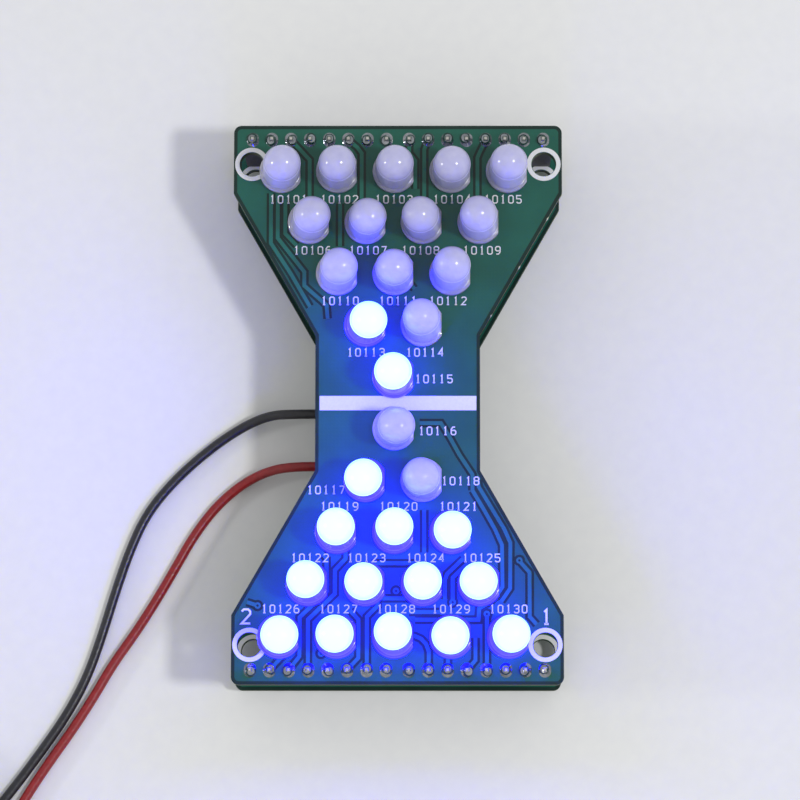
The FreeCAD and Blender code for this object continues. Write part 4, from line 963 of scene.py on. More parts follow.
def lens_profile():
    """Radius and height from the foot to the top: rim, fillet, barrel and dome."""
    spots = [(0, 0), (RIM_RADIUS - 0.08, 0), (RIM_RADIUS, 0.1), (RIM_RADIUS, RIM_HEIGHT - 0.15)]
    spots += [(RIM_RADIUS - 0.04, RIM_HEIGHT - 0.06), (RIM_RADIUS - 0.12, RIM_HEIGHT - 0.01)]
    spots += [(RIM_RADIUS - 0.2, RIM_HEIGHT), (RIM_RADIUS - 0.24, RIM_HEIGHT - 0.05)]
    spots += [(RIM_RADIUS - 0.28, RIM_HEIGHT)]
    spots += [(BARREL_RADIUS + 0.14, RIM_HEIGHT), (BARREL_RADIUS + 0.04, RIM_HEIGHT + 0.04)]
    spots += [(BARREL_RADIUS, RIM_HEIGHT + 0.16), (BARREL_RADIUS, BARREL_TOP - 0.14)]
    spots += [(BARREL_RADIUS - 0.02, BARREL_TOP - 0.06), (BARREL_RADIUS - 0.06, BARREL_TOP - 0.03)]
    radius = BARREL_RADIUS - LEDGE
    for i in range(DOME_STEPS):
        angle = math.pi / 2 * i / DOME_STEPS
        spots.append((radius * math.cos(angle), BARREL_TOP + BARREL_RADIUS * math.sin(angle)))
    return spots + [(0, LENS_HEIGHT)]


def lean_over(verts, lean):
    """Moves points aside by their share of the way up to the dome."""
    for vert in verts:
        share = (vert.co.z / MM - FACE) / BARREL_TOP
        vert.co += point(*lean, 0) * share


def lens(name, place, lean, finishes, node_name):
    """One lens, with a finish each for its rim, its barrel and its dome."""
    x, y = place
    bm = bmesh.new()
    upright(bm, lens_profile(), x, y, FACE, LENS_STEPS)
    bmesh.ops.remove_doubles(bm, verts=bm.verts, dist=TINY)
    cut = bmesh.ops.bisect_plane(
        bm,
        geom=bm.verts[:] + bm.edges[:] + bm.faces[:],
        plane_co=point(x + FLAT_REACH, y, FACE),
        plane_no=(1, 0, 0),
        clear_outer=True,
    )["geom_cut"]
    bmesh.ops.holes_fill(bm, edges=of_kind(cut, bmesh.types.BMEdge), sides=0)
    for face in bm.faces:
        level = face.calc_center_median().z / MM - FACE
        face.material_index = int(level > BARREL_FROM) + int(level > DOME_FROM)
    lean_over(bm.verts, lean)
    return piece(name, bm, finishes, stands_for=[node_name], smooth=40)


print("lens profile points:", len(lens_profile()))

# %% [markdown]
# ## Lens finishes
# The unlit lens is milky epoxy: a smooth skin with light that goes in, scatters and comes out
# again, so it is part transmission and part subsurface. The light goes several millimetres deep,
# which evens out the shading of the whole dome. The dome scatters more, because it is the
# thicker way through, and the barrel lets the lead frame show. A lit dome is so bright that it
# reads as white, while the light that it throws is blue. A light whose blue is far stronger than
# its red and green does both: the picture clips it to white, and the board around it turns blue.
# Barrel and rim send out less of it, so they aren't clipped to white and read as violet blue:
# next to their blue there is only a trace of red and green, with a little more of the red.
# The skin of a lit dome is a clear coat with a touch of cyan. Light that comes out at a slant
# has a longer way through it, so the dome turns from white to mint towards its rim.

# %% Epoxy
SCATTER = 6.0
SKIN_TINT = "#e0ffff"
SKIN_ROUGH = 0.18
LENS_GRAIN = 1.2
LENS_RELIEF = 0.0004


def milky_epoxy(name, dark, light, rough, through, scatter=1.0):
    """Milky epoxy, cast in a polished mould, with its share of light let through or scattered."""
    inputs = {"Transmission_Weight": through, "Subsurface_Weight": scatter}
    material, tree, shader = finish(name, IOR=1.53, Subsurface_Scale=SCATTER * MM, **inputs)
    shader.inputs["Subsurface Radius"].default_value = (1.0, 1.0, 1.0)
    grain(tree, shader, LENS_GRAIN, (dark, light), rough, LENS_RELIEF)
    return material


def lit_epoxy(name, glow, strength, skin):
    """Milky epoxy with the light on: its glow in linear red, green and blue, and its skin."""
    inputs = {"Emission_Strength": strength, "Coat_Weight": skin, "Coat_Roughness": SKIN_ROUGH}
    material, tree, shader = finish(name, IOR=1.53, **inputs)
    shader.inputs["Coat Tint"].default_value = linear(SKIN_TINT)
    shader.inputs["Emission Color"].default_value = (*glow, 1.0)
    grain(tree, shader, LENS_GRAIN, ("#4a4f78", "#555a86"), (0.16, 0.2), LENS_RELIEF)
    return material


# The lavender of the unlit lenses is partly painted light: blue from the lit LEDs, painted into their
# colour.
milky_rim = milky_epoxy("milky_epoxy_cast_rim", "#c4c4f0", "#cdcdf5", (0.04, 0.07), 0.25)
milky_barrel = milky_epoxy("milky_epoxy_cast_barrel", "#c4c4f0", "#cdcdf5", (0.16, 0.2), 0.25)
milky_dome = milky_epoxy("milky_epoxy_cast_dome", "#b5b5e0", "#bfbfe7", (0.16, 0.2), 0.1)
lit_rim = lit_epoxy("milky_epoxy_lit_rim", (0.0024, 0.001, 1.0), 20.0, 0.0)
lit_barrel = lit_epoxy("milky_epoxy_lit_barrel", (0.0034, 0.0021, 1.0), 28.0, 0.0)
lit_dome = lit_epoxy("milky_epoxy_lit_dome", (0.0205, 0.0275, 1.0), 60.0, 1.0)
MILKY = [milky_rim, milky_barrel, milky_dome]
GLOWING = [lit_rim, lit_barrel, lit_dome]
print("lens finishes:", [epoxy.name for epoxy in MILKY + GLOWING])

# %% Place the LEDs
LIT = {13, 15, 17} | set(range(19, 31))
LED_PITCH = 7.5
LED_SHIFT = -0.45
LED_FIRST_ROW = 3.45
LED_ROW_STEP = 6.85
# How far each dome stands aside, as (x, y), in reading order.
LEANS = [(0.29, 0.09), (0.01, 0.08), (0.12, 0.08), (0.09, -0.05), (0.07, 0.21)]
LEANS += [(0.48, 0.1), (0.32, -0.14), (-0.3, 0.09), (-0.18, 0.17)]
LEANS += [(0.31, 0.13), (-0.01, -0.04), (0.08, 0.3)]
LEANS += [(0.44, -0.12), (-0.17, 0.24), (-0.12, -0.02)]
LEANS += [(0.34, -0.25), (-0.23, -0.24), (-0.16, -0.07)]
LEANS += [(-0.02, 0.22), (0.09, 0.25), (0.15, -0.2)]
LEANS += [(-0.2, 0.22), (-0.18, -0.07), (0.02, 0.02), (-0.25, 0.0)]
LEANS += [(0.23, -0.12), (-0.14, -0.01), (-0.11, 0.32), (-0.15, -0.23), (0.25, 0.0)]
LED_PLACES = []
for sign, counts in ((1, (5, 4, 3, 2, 1)), (-1, (1, 2, 3, 4, 5))):
    for count in counts:
        row_y = sign * (LED_FIRST_ROW + (count - 1) * LED_ROW_STEP)
        for i in range(count):
            LED_PLACES.append((LED_SHIFT + (i - (count - 1) / 2) * LED_PITCH, row_y))
for i, (place, lean) in enumerate(zip(LED_PLACES, LEANS), 1):
    if i in LIT:
        lens(f"lit_lens_{i:02d}", place, lean, GLOWING, f"led_{i:02d}")
    else:
        lens(f"milky_lens_{i:02d}", place, lean, MILKY, f"led_{i:02d}")

# %% [markdown]
# ## Lead frames
# Inside each lens stand two flat posts, stamped from one strip of steel. The wider one ends in an
# anvil with a little cup for the chip, the thinner one in a flag that the bond wire reaches. On
# the real part they show as pale stripes through the milky barrel.

# %% Lead frames
FRAME_THICK = 0.5
FRAME_BLOCKS = [
    # x from, x to, lower z and upper z of each flat block in mm, from the LED's axis and foot.
    (-1.45, -0.85, 0.15, 2.7),
    (-1.6, 0.35, 2.6, 3.3),
    (-1.15, 0.2, 3.2, 4.0),
    (0.9, 1.4, 0.15, 2.9),
    (0.6, 1.55, 2.8, 4.1),
]
CUP_X = -0.48
CUP_RADIUS = 0.55
# Radius and height of the cup, from its floor over its rim and back below.
CUP = [(0.1, 4.0), (0.15, 4.02), (CUP_RADIUS, 4.35), (CUP_RADIUS + 0.12, 4.35)]
CUP += [(0.45, 3.9), (0, 3.9)]
lead_frames = bmesh.new()
for (x, y), lean in zip(LED_PLACES, LEANS):
    part = bmesh.new()
    for x0, x1, z0, z1 in FRAME_BLOCKS:
        middle = Matrix.Translation(point(x + (x0 + x1) / 2, y, FACE + (z0 + z1) / 2))
        sides = Matrix.Diagonal((*point(x1 - x0, FRAME_THICK, z1 - z0), 1))
        bmesh.ops.create_cube(part, size=1.0, matrix=middle @ sides)
    upright(part, CUP, x + CUP_X, y, FACE, steps=16)
    lean_over(part.verts, lean)
    join(lead_frames, part)
piece("led_lead_frames_stamped", lead_frames, [tinned])

# %% [markdown]
# ## Header pins
# The pins of the plug strips are square brass wire with a coat of tin. They are cut off with
# a blunt point, and the upper ends stand out of the solder on the display board. A cube, drawn
# out to a pin, gets its points by one short extrusion at each end.

# %% Pins
PIN_SIDE = 0.64
POINT = 0.28
POINT_SHARE = 0.55
PIN_PLACES = [
    (sx * (STRIP_GAP / 2 + i * PIN_PITCH), sy * PIN_Y) for sx, sy in CORNERS for i in range(8)
]


def square_post(bm, x, y, bottom, top, side):
    """An upright square wire with blunt points at both ends."""
    part = bmesh.new()
    middle = Matrix.Translation(point(x, y, (bottom + top) / 2))
    sides = Matrix.Diagonal((*point(side, side, top - bottom - 2 * POINT), 1))
    bmesh.ops.create_cube(part, size=1.0, matrix=middle @ sides)
    for cap in [face for face in part.faces if abs(face.normal.z) > 0.9]:
        up = math.copysign(POINT, cap.normal.z)
        grown = bmesh.ops.extrude_face_region(part, geom=[cap])["geom"]
        ends = of_kind(grown, bmesh.types.BMVert)
        bmesh.ops.delete(part, geom=[cap], context="FACES_ONLY")
        bmesh.ops.translate(part, verts=ends, vec=point(0, 0, up))
        axis = Matrix.Translation(-point(x, y, 0))
        bmesh.ops.scale(part, verts=ends, vec=(POINT_SHARE, POINT_SHARE, 1), space=axis)
    join(bm, part)


pins = bmesh.new()
for x, y in PIN_PLACES:
    square_post(pins, x, y, low("header_pins").z, high("header_pins").z, PIN_SIDE)
piece(
    "header_pins_pointed",
    pins,
    [tinned],
    stands_for=["header_pins"],
    smooth=20,
)

# %% [markdown]
# ## Solder joints
# Molten solder climbs a pin and pulls itself into a hollow cone. Each joint is that profile spun
# round its pin, stretched where the pad is oval, and a little different from its neighbours, as
# hand-soldered joints are. The pins' joints on the display board, the ones that the photograph
# shows, differ three times as much as the rest. The random numbers come from a fixed seed, so
# they never change.

# %% Joint shape
chance = random.Random(5)
SPREAD = 0.09
JOINT_LEAN = 0.07
JOINT_STEPS = 6
HOLLOW = 2.2
# How far the middle of a joint's top stands out, as a share of its height.
CROWN = 1.02
# From this distance in mm on, the two halves of a stretched joint are moved apart in full.
PARTING = 0.05
# The share of the stretch that is lost on the way to the top.
DRAW_IN = 0.6


def joint(bm, x, y, level, way, foot, tip, rise, stretch=0.0, steps=20, uneven=1.0):
    """A hollow cone of solder from its foot to its tip, up (way 1) or down (way -1).

    It is longer along Y by a stretch in mm, and uneven says how much chance may change it.
    """
    height = rise * (1 - SPREAD * uneven * chance.random())
    lean = Vector((chance.uniform(-1, 1), chance.uniform(-1, 1), 0)) * JOINT_LEAN * uneven * MM
    profile = [(x, y, level)]
    for i in range(JOINT_STEPS + 1):
        share = i / JOINT_STEPS
        radius = tip + (foot - tip) * (1 - share) ** HOLLOW
        profile.append((x + radius, y, level + way * height * share))
    profile.append((x, y, level + way * height * CROWN))

    def settle(vert):
        share = abs(vert.co.z / MM - level) / height
        aside = vert.co.y / MM - y
        pull = max(-1, min(1, aside / PARTING)) * stretch / 2 * (1 - DRAW_IN * share)
        vert.co += point(0, pull, 0) + lean * share

    turn(bm, profile, centre=(x, y, level), steps=steps, shape=settle)


# %% Solder the display board
PIN_JOINT = {"foot": 0.82, "tip": 0.48, "rise": 0.75, "stretch": 0.3, "uneven": 3.0}
LEAD_JOINT = {"foot": 0.83, "tip": 0.4, "rise": 0.95, "steps": 14}
LEAD_PLACES = [(x + s * HALF_PITCH, y) for x, y in LED_PLACES for s in (-1, 1)]
joints = bmesh.new()
for x, y in PIN_PLACES:
    joint(joints, x, y, FACE, 1, **PIN_JOINT)
for x, y in LEAD_PLACES:
    joint(joints, x, y, BACK, -1, **LEAD_JOINT)
piece(
    "display_solder_joints",
    joints,
    [solder],
    stands_for=["led_board_solder"],
    smooth=60,
)

# %% Solder the controller board
SOCKET_JOINT = {"foot": 0.56, "tip": 0.4, "rise": 1.45, "stretch": 0.62}
SMALL_JOINT = {"foot": 0.83, "tip": 0.4, "rise": 1.36, "steps": 14}
PAD_JOINT = {"foot": 0.84, "tip": 0.42, "rise": 1.12}
# The tinned strands between a wire's insulation and its pad.
ROD_LENGTH = 1.1
ROD_RADIUS = 0.35
BUTTON_Y = -24.0
BUTTON_LEAD_X = 15.49
BUTTON_LEAD_DX = 1.1
BUTTON_LEAD_DY = 2.25
CHIP_PLACES = [(s * CHIP_ROW, (i - LAST_LEG) * PIN_PITCH) for s in (-1, 1) for i in range(20)]
# The crystal, the two capacitors, the reset capacitor, the resistor, the tilt switch, the button.
SMALL_PLACES = [(-6.03, -29.25), (-1.15, -29.25)]
SMALL_PLACES += [(3.56, -30.67), (3.56, -28.13), (7.46, -30.67), (7.46, -28.13)]
SMALL_PLACES += [(6.2, 29.5), (8.2, 29.5), (-10.68, 28.2), (-0.52, 28.2)]
SMALL_PLACES += [(-13.36, -30.1), (-10.82, -30.1)]
for sx, sy in CORNERS:
    SMALL_PLACES.append((BUTTON_LEAD_X + sx * BUTTON_LEAD_DX, BUTTON_Y + sy * BUTTON_LEAD_DY))
print("small leads:", len(SMALL_PLACES))
joints = bmesh.new()
for x, y in PIN_PLACES:
    joint(joints, x, y, UNDERSIDE, -1, **SOCKET_JOINT)
piece(
    "socket_solder_joints",
    joints,
    [solder],
    stands_for=["socket_solder"],
    smooth=60,
)
joints = bmesh.new()
for x, y in CHIP_PLACES + SMALL_PLACES:
    joint(joints, x, y, UNDERSIDE, -1, **SMALL_JOINT)
for y in PAD_YS:
    joint(joints, PAD_X, y, DECK, 1, **PAD_JOINT)
    rod = Matrix.Translation(point(PAD_X - ROD_LENGTH / 2, y, LEVEL))
    bmesh.ops.create_cone(
        joints,
        cap_ends=True,
        segments=16,
        radius1=ROD_RADIUS * MM,
        radius2=ROD_RADIUS * MM,
        depth=ROD_LENGTH * MM,
        matrix=rod @ Matrix.Rotation(math.pi / 2, 4, "Y"),
    )
piece(
    "controller_solder_joints",
    joints,
    [solder],
    stands_for=["controller_solder"],
    smooth=60,
)

# %% [markdown]
# ## Clock crystal and its capacitors
# A crystal of this kind sits in a drawn steel can with round ends, welded on a flat base. The can
# starts as a circle whose two halves are pulled apart, and its upper edge is rounded as drawing
# leaves it. Beside it stand two small ceramic discs, dipped in orange brown lacquer, which pulls
# itself round the disc and runs down on the leads.

# %% Crystal
OBLONG_STEPS = 40
CRYSTAL_ROUND = 0.55
CRYSTAL_BLOCKS = [
    # Length, width, height above the board and thickness of the base, its weld and the can.
    (10.8, 4.5, 0.0, 0.35),
    (10.5, 4.2, 0.35, 0.25),
    (10.0, 3.7, 0.6, 3.0),
]


def oblong(bm, centre, length, width, level, rise):
    """An upright block with round ends. Returns the vertices of its top."""
    circle = bmesh.ops.create_circle(
        bm,
        cap_ends=True,
        segments=OBLONG_STEPS,
        radius=width / 2 * MM,
        matrix=Matrix.Rotation(math.pi / OBLONG_STEPS, 4, "Z"),
    )["verts"]
    faces = list({face for v in circle for face in v.link_faces})
    for v in circle:
        v.co.x += math.copysign((length - width) / 2 * MM, v.co.x)
    bmesh.ops.translate(bm, verts=circle, vec=point(*centre, level))
    return raise_up(bm, faces, rise)


CRYSTAL_CENTRE = ((low("crystal") + high("crystal")) / 2).xy
crystal = bmesh.new()
for length, width, up, thick in CRYSTAL_BLOCKS:
    top = oblong(crystal, CRYSTAL_CENTRE, length, width, DECK + up, thick)
rim = {e for v in top for e in v.link_edges if e.other_vert(v) in set(top)}
bmesh.ops.bevel(
    crystal,
    geom=list(rim),
    offset=CRYSTAL_ROUND * MM,
    segments=5,
    profile=0.5,
    affect="EDGES",
    material=-1,
)
piece("crystal_steel_can", crystal, [nickel], stands_for=["crystal"], smooth=50)

# %% Disc capacitors
DISC_XS = (3.56, 7.46)
DISC_Y = -29.4
DISC_LEVEL = DECK + 0.9
DISC_RADIUS = 2.39
DISC_HALF = 1.15
DISC_FULLNESS = 0.55
DISC_STEPS = 9
# Radius and height of the lacquer that ran down on a lead.
DRIP = [(0, 0.35), (0.3, 0.4), (0.42, 1.0), (0.5, 2.2), (0, 2.4)]
lacquer = grained(
    "dipped_orange_lacquer",
    1.4,
    ("#b4682a", "#c97f3a"),
    (0.28, 0.4),
    0.03,
    IOR=1.5,
    Coat_Weight=0.3,
    Coat_Roughness=0.1,
)
discs = bmesh.new()
for x in DISC_XS:
    centre = (x, DISC_Y, DISC_LEVEL + DISC_RADIUS)
    profile = []
    for k in range(-DISC_STEPS, DISC_STEPS + 1):
        angle = math.pi / 2 * k / DISC_STEPS
        height = DISC_RADIUS * max(math.cos(angle), 0) ** DISC_FULLNESS
        profile.append((x + DISC_HALF * math.sin(angle), DISC_Y, centre[2] + height))
    turn(discs, profile, axis=(1, 0, 0), centre=centre, steps=36)
    for y in (DISC_Y - HALF_PITCH, DISC_Y + HALF_PITCH):
        upright(discs, DRIP, x, y, DECK, steps=16)
piece(
    "disc_capacitors_dipped",
    discs,
    [lacquer],
    stands_for=["load_capacitors"],
    smooth=60,
)

# %% [markdown]
# ## Reset capacitor and resistor
# The capacitor is an aluminium can in a shrunk plastic sleeve, which curls over the can's upper
# edge and carries a pale stripe on the side of the minus lead. The resistor is a ceramic rod with
# a cap on each end, dipped in pale blue lacquer and printed with colour rings.

# %% Capacitor can
sleeve = grained(
    "shrunk_pvc_sleeve", 0.9, ("#141a33", "#1b2342"), (0.24, 0.34), 0.01, IOR=1.53
)
stripe = grained(
    "sleeve_stripe_printed", 0.5, ("#a9adb5", "#bfc3ca"), (0.35, 0.5), 0.004, IOR=1.5
)
aluminium = metal("aluminium_drawn", "#a8a9ab", "#c6c7c9", (0.3, 0.42), 0.4, 0.005)
# Radius and height: the foot, the groove at the seal, the side, the sleeve's curl and the lid.
CAN = [(0, 0), (2.1, 0), (2.42, 0.12), (2.5, 0.35), (2.5, 0.9)]
CAN += [(2.38, 1.1), (2.28, 1.25), (2.38, 1.4), (2.5, 1.62), (2.5, 6.55)]
CAN += [(2.46, 6.78), (2.34, 6.93), (2.16, 7.0), (2.0, 6.98), (1.96, 6.86), (1.9, 6.84), (0, 6.84)]
LID_LEVEL = 6.8
LID_RADIUS = 1.95
SLEEVE_TOP = 6.9
SIDE_RADIUS = 2.2
STRIPE_X = -1.9
can = bmesh.new()
upright(can, CAN, CAN_X, CAN_Y, DECK, steps=48)
for face in can.faces:
    spot = face.calc_center_median() / MM - Vector((CAN_X, CAN_Y, DECK))
    reach = math.hypot(spot.x, spot.y)
    if spot.z > LID_LEVEL and reach < LID_RADIUS:
        face.material_index = 2
    elif reach > SIDE_RADIUS and spot.x < STRIPE_X and spot.z < SLEEVE_TOP:
        face.material_index = 1
piece(
    "reset_capacitor_can",
    can,
    [sleeve, stripe, aluminium],
    stands_for=["reset_capacitor"],
)

# %% Resistor
blue_lacquer = grained(
    "pale_blue_lacquer_dipped", 0.8, ("#6f9fb5", "#86b3c6"), (0.3, 0.4), 0.02, IOR=1.5
)
RINGS = [("brown", "#5a3018"), ("black", "#151515"), ("orange", "#c4601a"), ("gold", "#9a7a32")]
ring_paints = []
for colour, code in RINGS:
    name = f"ring_{colour}_printed"
    ring_paints.append(grained(name, 0.3, (code, code), (0.35, 0.45), 0.004, IOR=1.5))
RESISTOR_X = -5.6
RESISTOR_Y = 28.2
RESISTOR_AXIS = DECK + 1.2
RING_STARTS = [-2.15, -0.95, 0.0, 1.65]
RING_WIDTH = 0.5
# Place along the axis and radius, with an edge at both ends of each ring.
BODY = [(-3.15, 0), (-3.13, 0.6), (-3.0, 0.95), (-2.75, 1.14), (-2.4, 1.2), (-2.15, 1.2)]
BODY += [(-1.65, 1.17), (-1.3, 1.04), (-0.95, 1.0), (-0.45, 1.0), (0.0, 1.0), (0.5, 1.0)]
BODY += [(1.3, 1.04), (1.65, 1.17), (2.15, 1.2), (2.4, 1.2), (2.75, 1.14), (3.0, 0.95)]
BODY += [(3.13, 0.6), (3.15, 0)]
resistor = bmesh.new()
turn(
    resistor,
    [(RESISTOR_X + a, RESISTOR_Y, RESISTOR_AXIS + r) for a, r in BODY],
    axis=(1, 0, 0),
    centre=(RESISTOR_X, RESISTOR_Y, RESISTOR_AXIS),
    steps=32,
)
for face in resistor.faces:
    along = face.calc_center_median().x / MM - RESISTOR_X
    for k, start in enumerate(RING_STARTS):
        if start < along < start + RING_WIDTH:
            face.material_index = k + 1
piece(
    "reset_resistor_lacquered",
    resistor,
    [blue_lacquer] + ring_paints,
    stands_for=["reset_resistor"],
    smooth=60,
)

# %% [markdown]
# ## Tilt switch
# Two plated balls roll in a thin can and close the contact at its base when the hourglass is
# turned over. The can is drawn, so its closed end has a round edge. Its profile, outside and
# inside, is spun round its axis, and the balls inside are the CAD model's own.

# %% Can of the tilt switch
TILT_X = -12.09
TILT_MOUTH = -27.2
TILT_RADIUS = 2.5
TILT_BORE = 2.2
TILT_AXIS = DECK + TILT_RADIUS
TILT_LENGTH = 11.0
# Radius and place along the axis, outside from the mouth to the end and inside back again.
outer = [(TILT_RADIUS, 0.0), (TILT_RADIUS, 10.3), (2.4, 10.65), (2.15, 10.9)]
outer += [(1.8, TILT_LENGTH), (0, TILT_LENGTH)]
inner = [(0, 10.7), (1.7, 10.7), (TILT_BORE, 10.5), (TILT_BORE, 0.0)]
tilt = bmesh.new()
turn(
    tilt,
    [(TILT_X + r, TILT_MOUTH + along, TILT_AXIS) for r, along in outer + inner + outer[:1]],
    axis=(0, 1, 0),
    centre=(TILT_X, 0, TILT_AXIS),
    steps=48,
)
piece("tilt_switch_drawn_can", tilt, [nickel], stands_for=["tilt_switch_can"])

# %% [markdown]
# ## Side button
# The button has a moulded housing with a round bore, a thin steel cover with four rivets on its
# face, and a round plunger with a blunt edge. The bore is a circle that is pushed out to the
# square of the face, so one bridge between both loops makes the face with its hole.

# %% Housing
black_moulded = grained(
    "black_nylon_moulded", 0.35, ("#111113", "#1b1b1e"), (0.42, 0.55), 0.008, IOR=1.53
)
button_plastic = grained(
    "black_acetal_moulded", 0.5, ("#141416", "#1d1d20"), (0.32, 0.42), 0.004, IOR=1.48
)
HOUSING_BACK = low("button_housing").x
HOUSING_END = high("button_housing").x
HOUSING_HALF = 3.0
HOUSING_MIDDLE = DECK + HOUSING_HALF
PLUNGER_AXIS = DECK + 3.3
BORE = 1.75
BORE_END = HOUSING_END - 2.35
COVER_BACK = HOUSING_END - 0.25
COVER_FRONT = HOUSING_END - 0.05
COVER_HALF = 2.9
COVER_BORE = 1.9
RIVET_REACH = 2.35
# How far each point of a rivet's head stands out of the cover, and its radius.
RIVET = [(-0.1, 0.35), (0.0, 0.33), (0.04, 0.2), (0.05, 0)]
NEAR_ZERO = 1e-6


def holed_square(bm, x0, x1, half, bore):
    """A block along X with a square outside and a round bore round the plunger's axis."""
    loops = []
    axis = Matrix.Rotation(math.pi / 2, 4, "Y")
    place = Matrix.Translation(point(x0, BUTTON_Y, PLUNGER_AXIS)) @ axis
    for square in (False, True):
        verts = bmesh.ops.create_circle(bm, segments=48, radius=bore * MM, matrix=place)["verts"]
        if square:
            for v in verts:
                dy = v.co.y / MM - BUTTON_Y
                dz = v.co.z / MM - PLUNGER_AXIS
                room = half + (HOUSING_MIDDLE - PLUNGER_AXIS) * math.copysign(1, dz)
                reach = min(half / max(abs(dy), NEAR_ZERO), room / max(abs(dz), NEAR_ZERO))
                v.co.y = (BUTTON_Y + dy * reach) * MM
                v.co.z = (PLUNGER_AXIS + dz * reach) * MM
        loops.append({e for v in verts for e in v.link_edges})
    faces = bmesh.ops.bridge_loops(bm, edges=list(loops[0] | loops[1]))["faces"]
    grown = bmesh.ops.extrude_face_region(bm, geom=faces)["geom"]
    bmesh.ops.translate(bm, verts=of_kind(grown, bmesh.types.BMVert), vec=point(x1 - x0, 0, 0))


housing = bmesh.new()
middle = Matrix.Translation(point((HOUSING_BACK + BORE_END) / 2, BUTTON_Y, HOUSING_MIDDLE))
sides = point(BORE_END - HOUSING_BACK, 2 * HOUSING_HALF, 2 * HOUSING_HALF)
bmesh.ops.create_cube(housing, size=1.0, matrix=middle @ Matrix.Diagonal((*sides, 1)))
holed_square(housing, BORE_END, COVER_BACK, HOUSING_HALF, BORE)
piece(
    "button_moulded_housing",
    housing,
    [black_moulded],
    stands_for=["button_housing"],
)
cover = bmesh.new()
holed_square(cover, COVER_BACK, COVER_FRONT, COVER_HALF, COVER_BORE)
for sy, sz in CORNERS:
    y = BUTTON_Y + sy * RIVET_REACH
    z = HOUSING_MIDDLE + sz * RIVET_REACH
    head = [(COVER_FRONT + out, y, z + r) for out, r in RIVET]
    turn(cover, head, axis=(1, 0, 0), centre=(COVER_FRONT, y, z), steps=16)
piece("button_steel_cover", cover, [nickel])

# %% Plunger
PLUNGER_START = low("button_plunger").x
PLUNGER_END = high("button_plunger").x
PLUNGER_RADIUS = 1.65
shape = [(PLUNGER_START, 0), (PLUNGER_START, 1.6), (PLUNGER_START + 0.05, PLUNGER_RADIUS)]
shape += [(PLUNGER_END - 0.3, PLUNGER_RADIUS), (PLUNGER_END - 0.12, 1.58)]
shape += [(PLUNGER_END - 0.03, 1.45), (PLUNGER_END, 1.25), (PLUNGER_END, 0)]
plunger = bmesh.new()
turn(
    plunger,
    [(x, BUTTON_Y, PLUNGER_AXIS + r) for x, r in shape],
    axis=(1, 0, 0),
    centre=(0, BUTTON_Y, PLUNGER_AXIS),
    steps=48,
)
piece(
    "button_round_plunger",
    plunger,
    [button_plastic],
    body="button",
    stands_for=["button_plunger"],
)

# %% [markdown]
# ## Plastics of the sockets, headers and chip
# Header strips and sockets are moulded from black polyester or nylon, satin and faintly grained.
# The chip is epoxy full of ground quartz, moulded in a sand-blasted tool: blacker, duller and
# rougher. These pieces keep the CAD model's shapes, which have all their holes and contacts.

# %% Dress the plastics and the contacts
chip_epoxy = grained(
    "filled_epoxy_blasted_mould", 0.2, ("#19191b", "#222225"), (0.55, 0.7), 0.01, IOR=1.55
)
dress(black_moulded, "pin_headers", "socket_strips", "chip_socket", "tilt_switch_base")
dress(chip_epoxy, "microcontroller")
dress(tinned, "microcontroller_legs", "component_leads", "led_leads")
dress(spring, "socket_contacts", "chip_socket_contacts")
dress(plated_ball, "tilt_switch_balls")
print("CAD nodes are dressed")

# %% [markdown]
# ## Size of the whole model
# The box of the dressed model and the box that the CAD model fills are measured and printed. The
# dressed model has to stay inside the box that the CAD model fills.

# %% Measure
visual_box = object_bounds()
sizes = {"cad": [list(corner) for corner in cad_box], "visual": [list(corner) for corner in visual_box]}
for label, (lowest, highest) in sizes.items():
    print(label, [round((b - a) / MM, 2) for a, b in zip(lowest, highest)], "mm")

# %% [markdown]
# ## Floor
# The timer lies on a plain pale table. The table reflects eight tenths of the light, as white
# paper does, so it stays below white in the picture and the lit LEDs stand out from it.

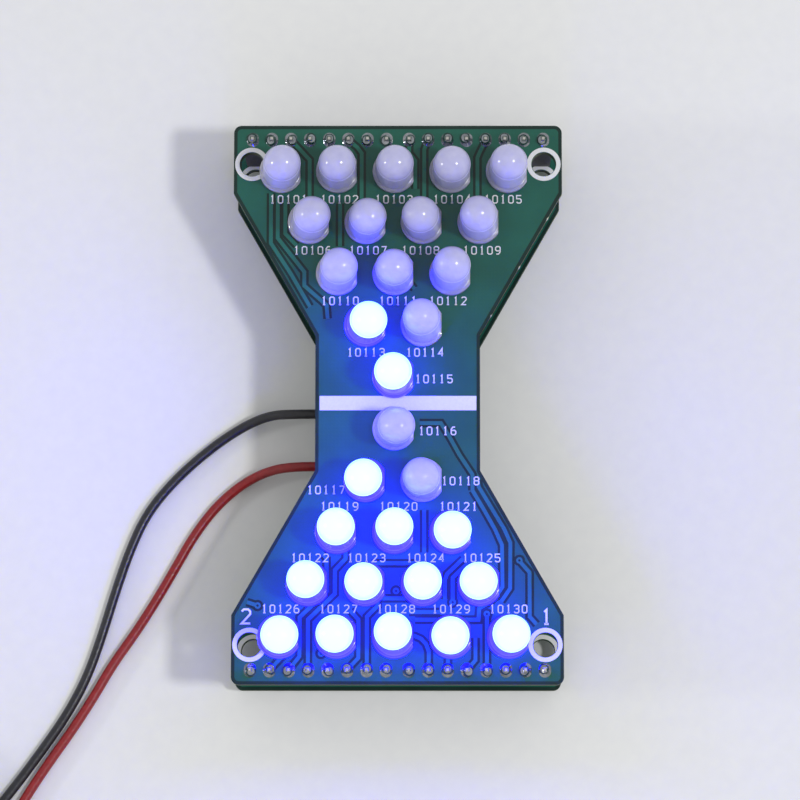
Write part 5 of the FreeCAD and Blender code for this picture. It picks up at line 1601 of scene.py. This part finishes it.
# %% Floor
FLOOR_HALF = 2.0
floor_mesh = bpy.data.meshes.new("floor")
sheet = bmesh.new()
bmesh.ops.create_grid(sheet, x_segments=1, y_segments=1, size=FLOOR_HALF)
sheet.to_mesh(floor_mesh)
sheet.free()
floor = bpy.data.objects.new("floor", floor_mesh)
bpy.context.collection.objects.link(floor)
inputs = {"Specular_IOR_Level": 0.1}
paper = grained("pale_paper_matt", 2.0, ("#e4e5e6", "#e7e8e8"), (0.8, 0.9), 0.0, **inputs)
floor_mesh.materials.append(paper)
print("floor width, m:", 2 * FLOOR_HALF)

# %% [markdown]
# ## Light
# Six tenths of the light come from an even pale sky, which fills all shadows. Two small soft
# boxes give the rest and make the two bright points on each dome: one stands to the right and
# high above, the other far to the left and low. Where they stand was found from those points: a
# dome is a small convex mirror, so a point's place on it gives the direction of its lamp.
# Together they light a level white sheet with a strength of about one, at which a colour renders
# as it is written. What the camera sees of the sky is a paler shade of the same.

# %% Sky
SKY = 0.62
SKY_SEEN = 0.85
world = bpy.data.worlds.new("studio")
world.use_nodes = True
bpy.context.scene.world = world
sky_tree = world.node_tree
seen = add(sky_tree, "LightPath").outputs["Is Camera Ray"]
inputs = {"Value": seen, "To Min": SKY, "To Max": SKY_SEEN}
strength = add(sky_tree, "MapRange", inputs).outputs["Result"]
background = sky_tree.nodes["Background"]
background.inputs["Color"].default_value = (1.0, 1.0, 1.0, 1.0)
sky_tree.links.new(strength, background.inputs["Strength"])
print("sky strength:", SKY)

# %% Lamps
LAMP_SIDE = 0.09
LAMP_DISTANCE = 1.0
LAMPS = [
    # Name, direction from the timer, and the light in watts.
    ("right_soft_box", (0.485, -0.11, 0.87), 3.4),
    ("left_soft_box", (-0.94, -0.04, 0.34), 1.6),
]
for name, direction, watts in LAMPS:
    lamp_data = bpy.data.lights.new(name, "AREA")
    lamp_data.size = LAMP_SIDE
    lamp_data.energy = watts
    lamp = bpy.data.objects.new(name, lamp_data)
    lamp.location = Vector(direction).normalized() * LAMP_DISTANCE
    lamp.rotation_euler = lamp.location.to_track_quat("Z", "Y").to_euler()
    bpy.context.collection.objects.link(lamp)
print("lamps:", [name for name, direction, watts in LAMPS])

# %% [markdown]
# ## Picture
# The standard view transform shows each colour as it was computed, so a colour written in a
# material can be checked in the picture.

# %% Finish
bpy.context.scene.view_settings.view_transform = "Standard"
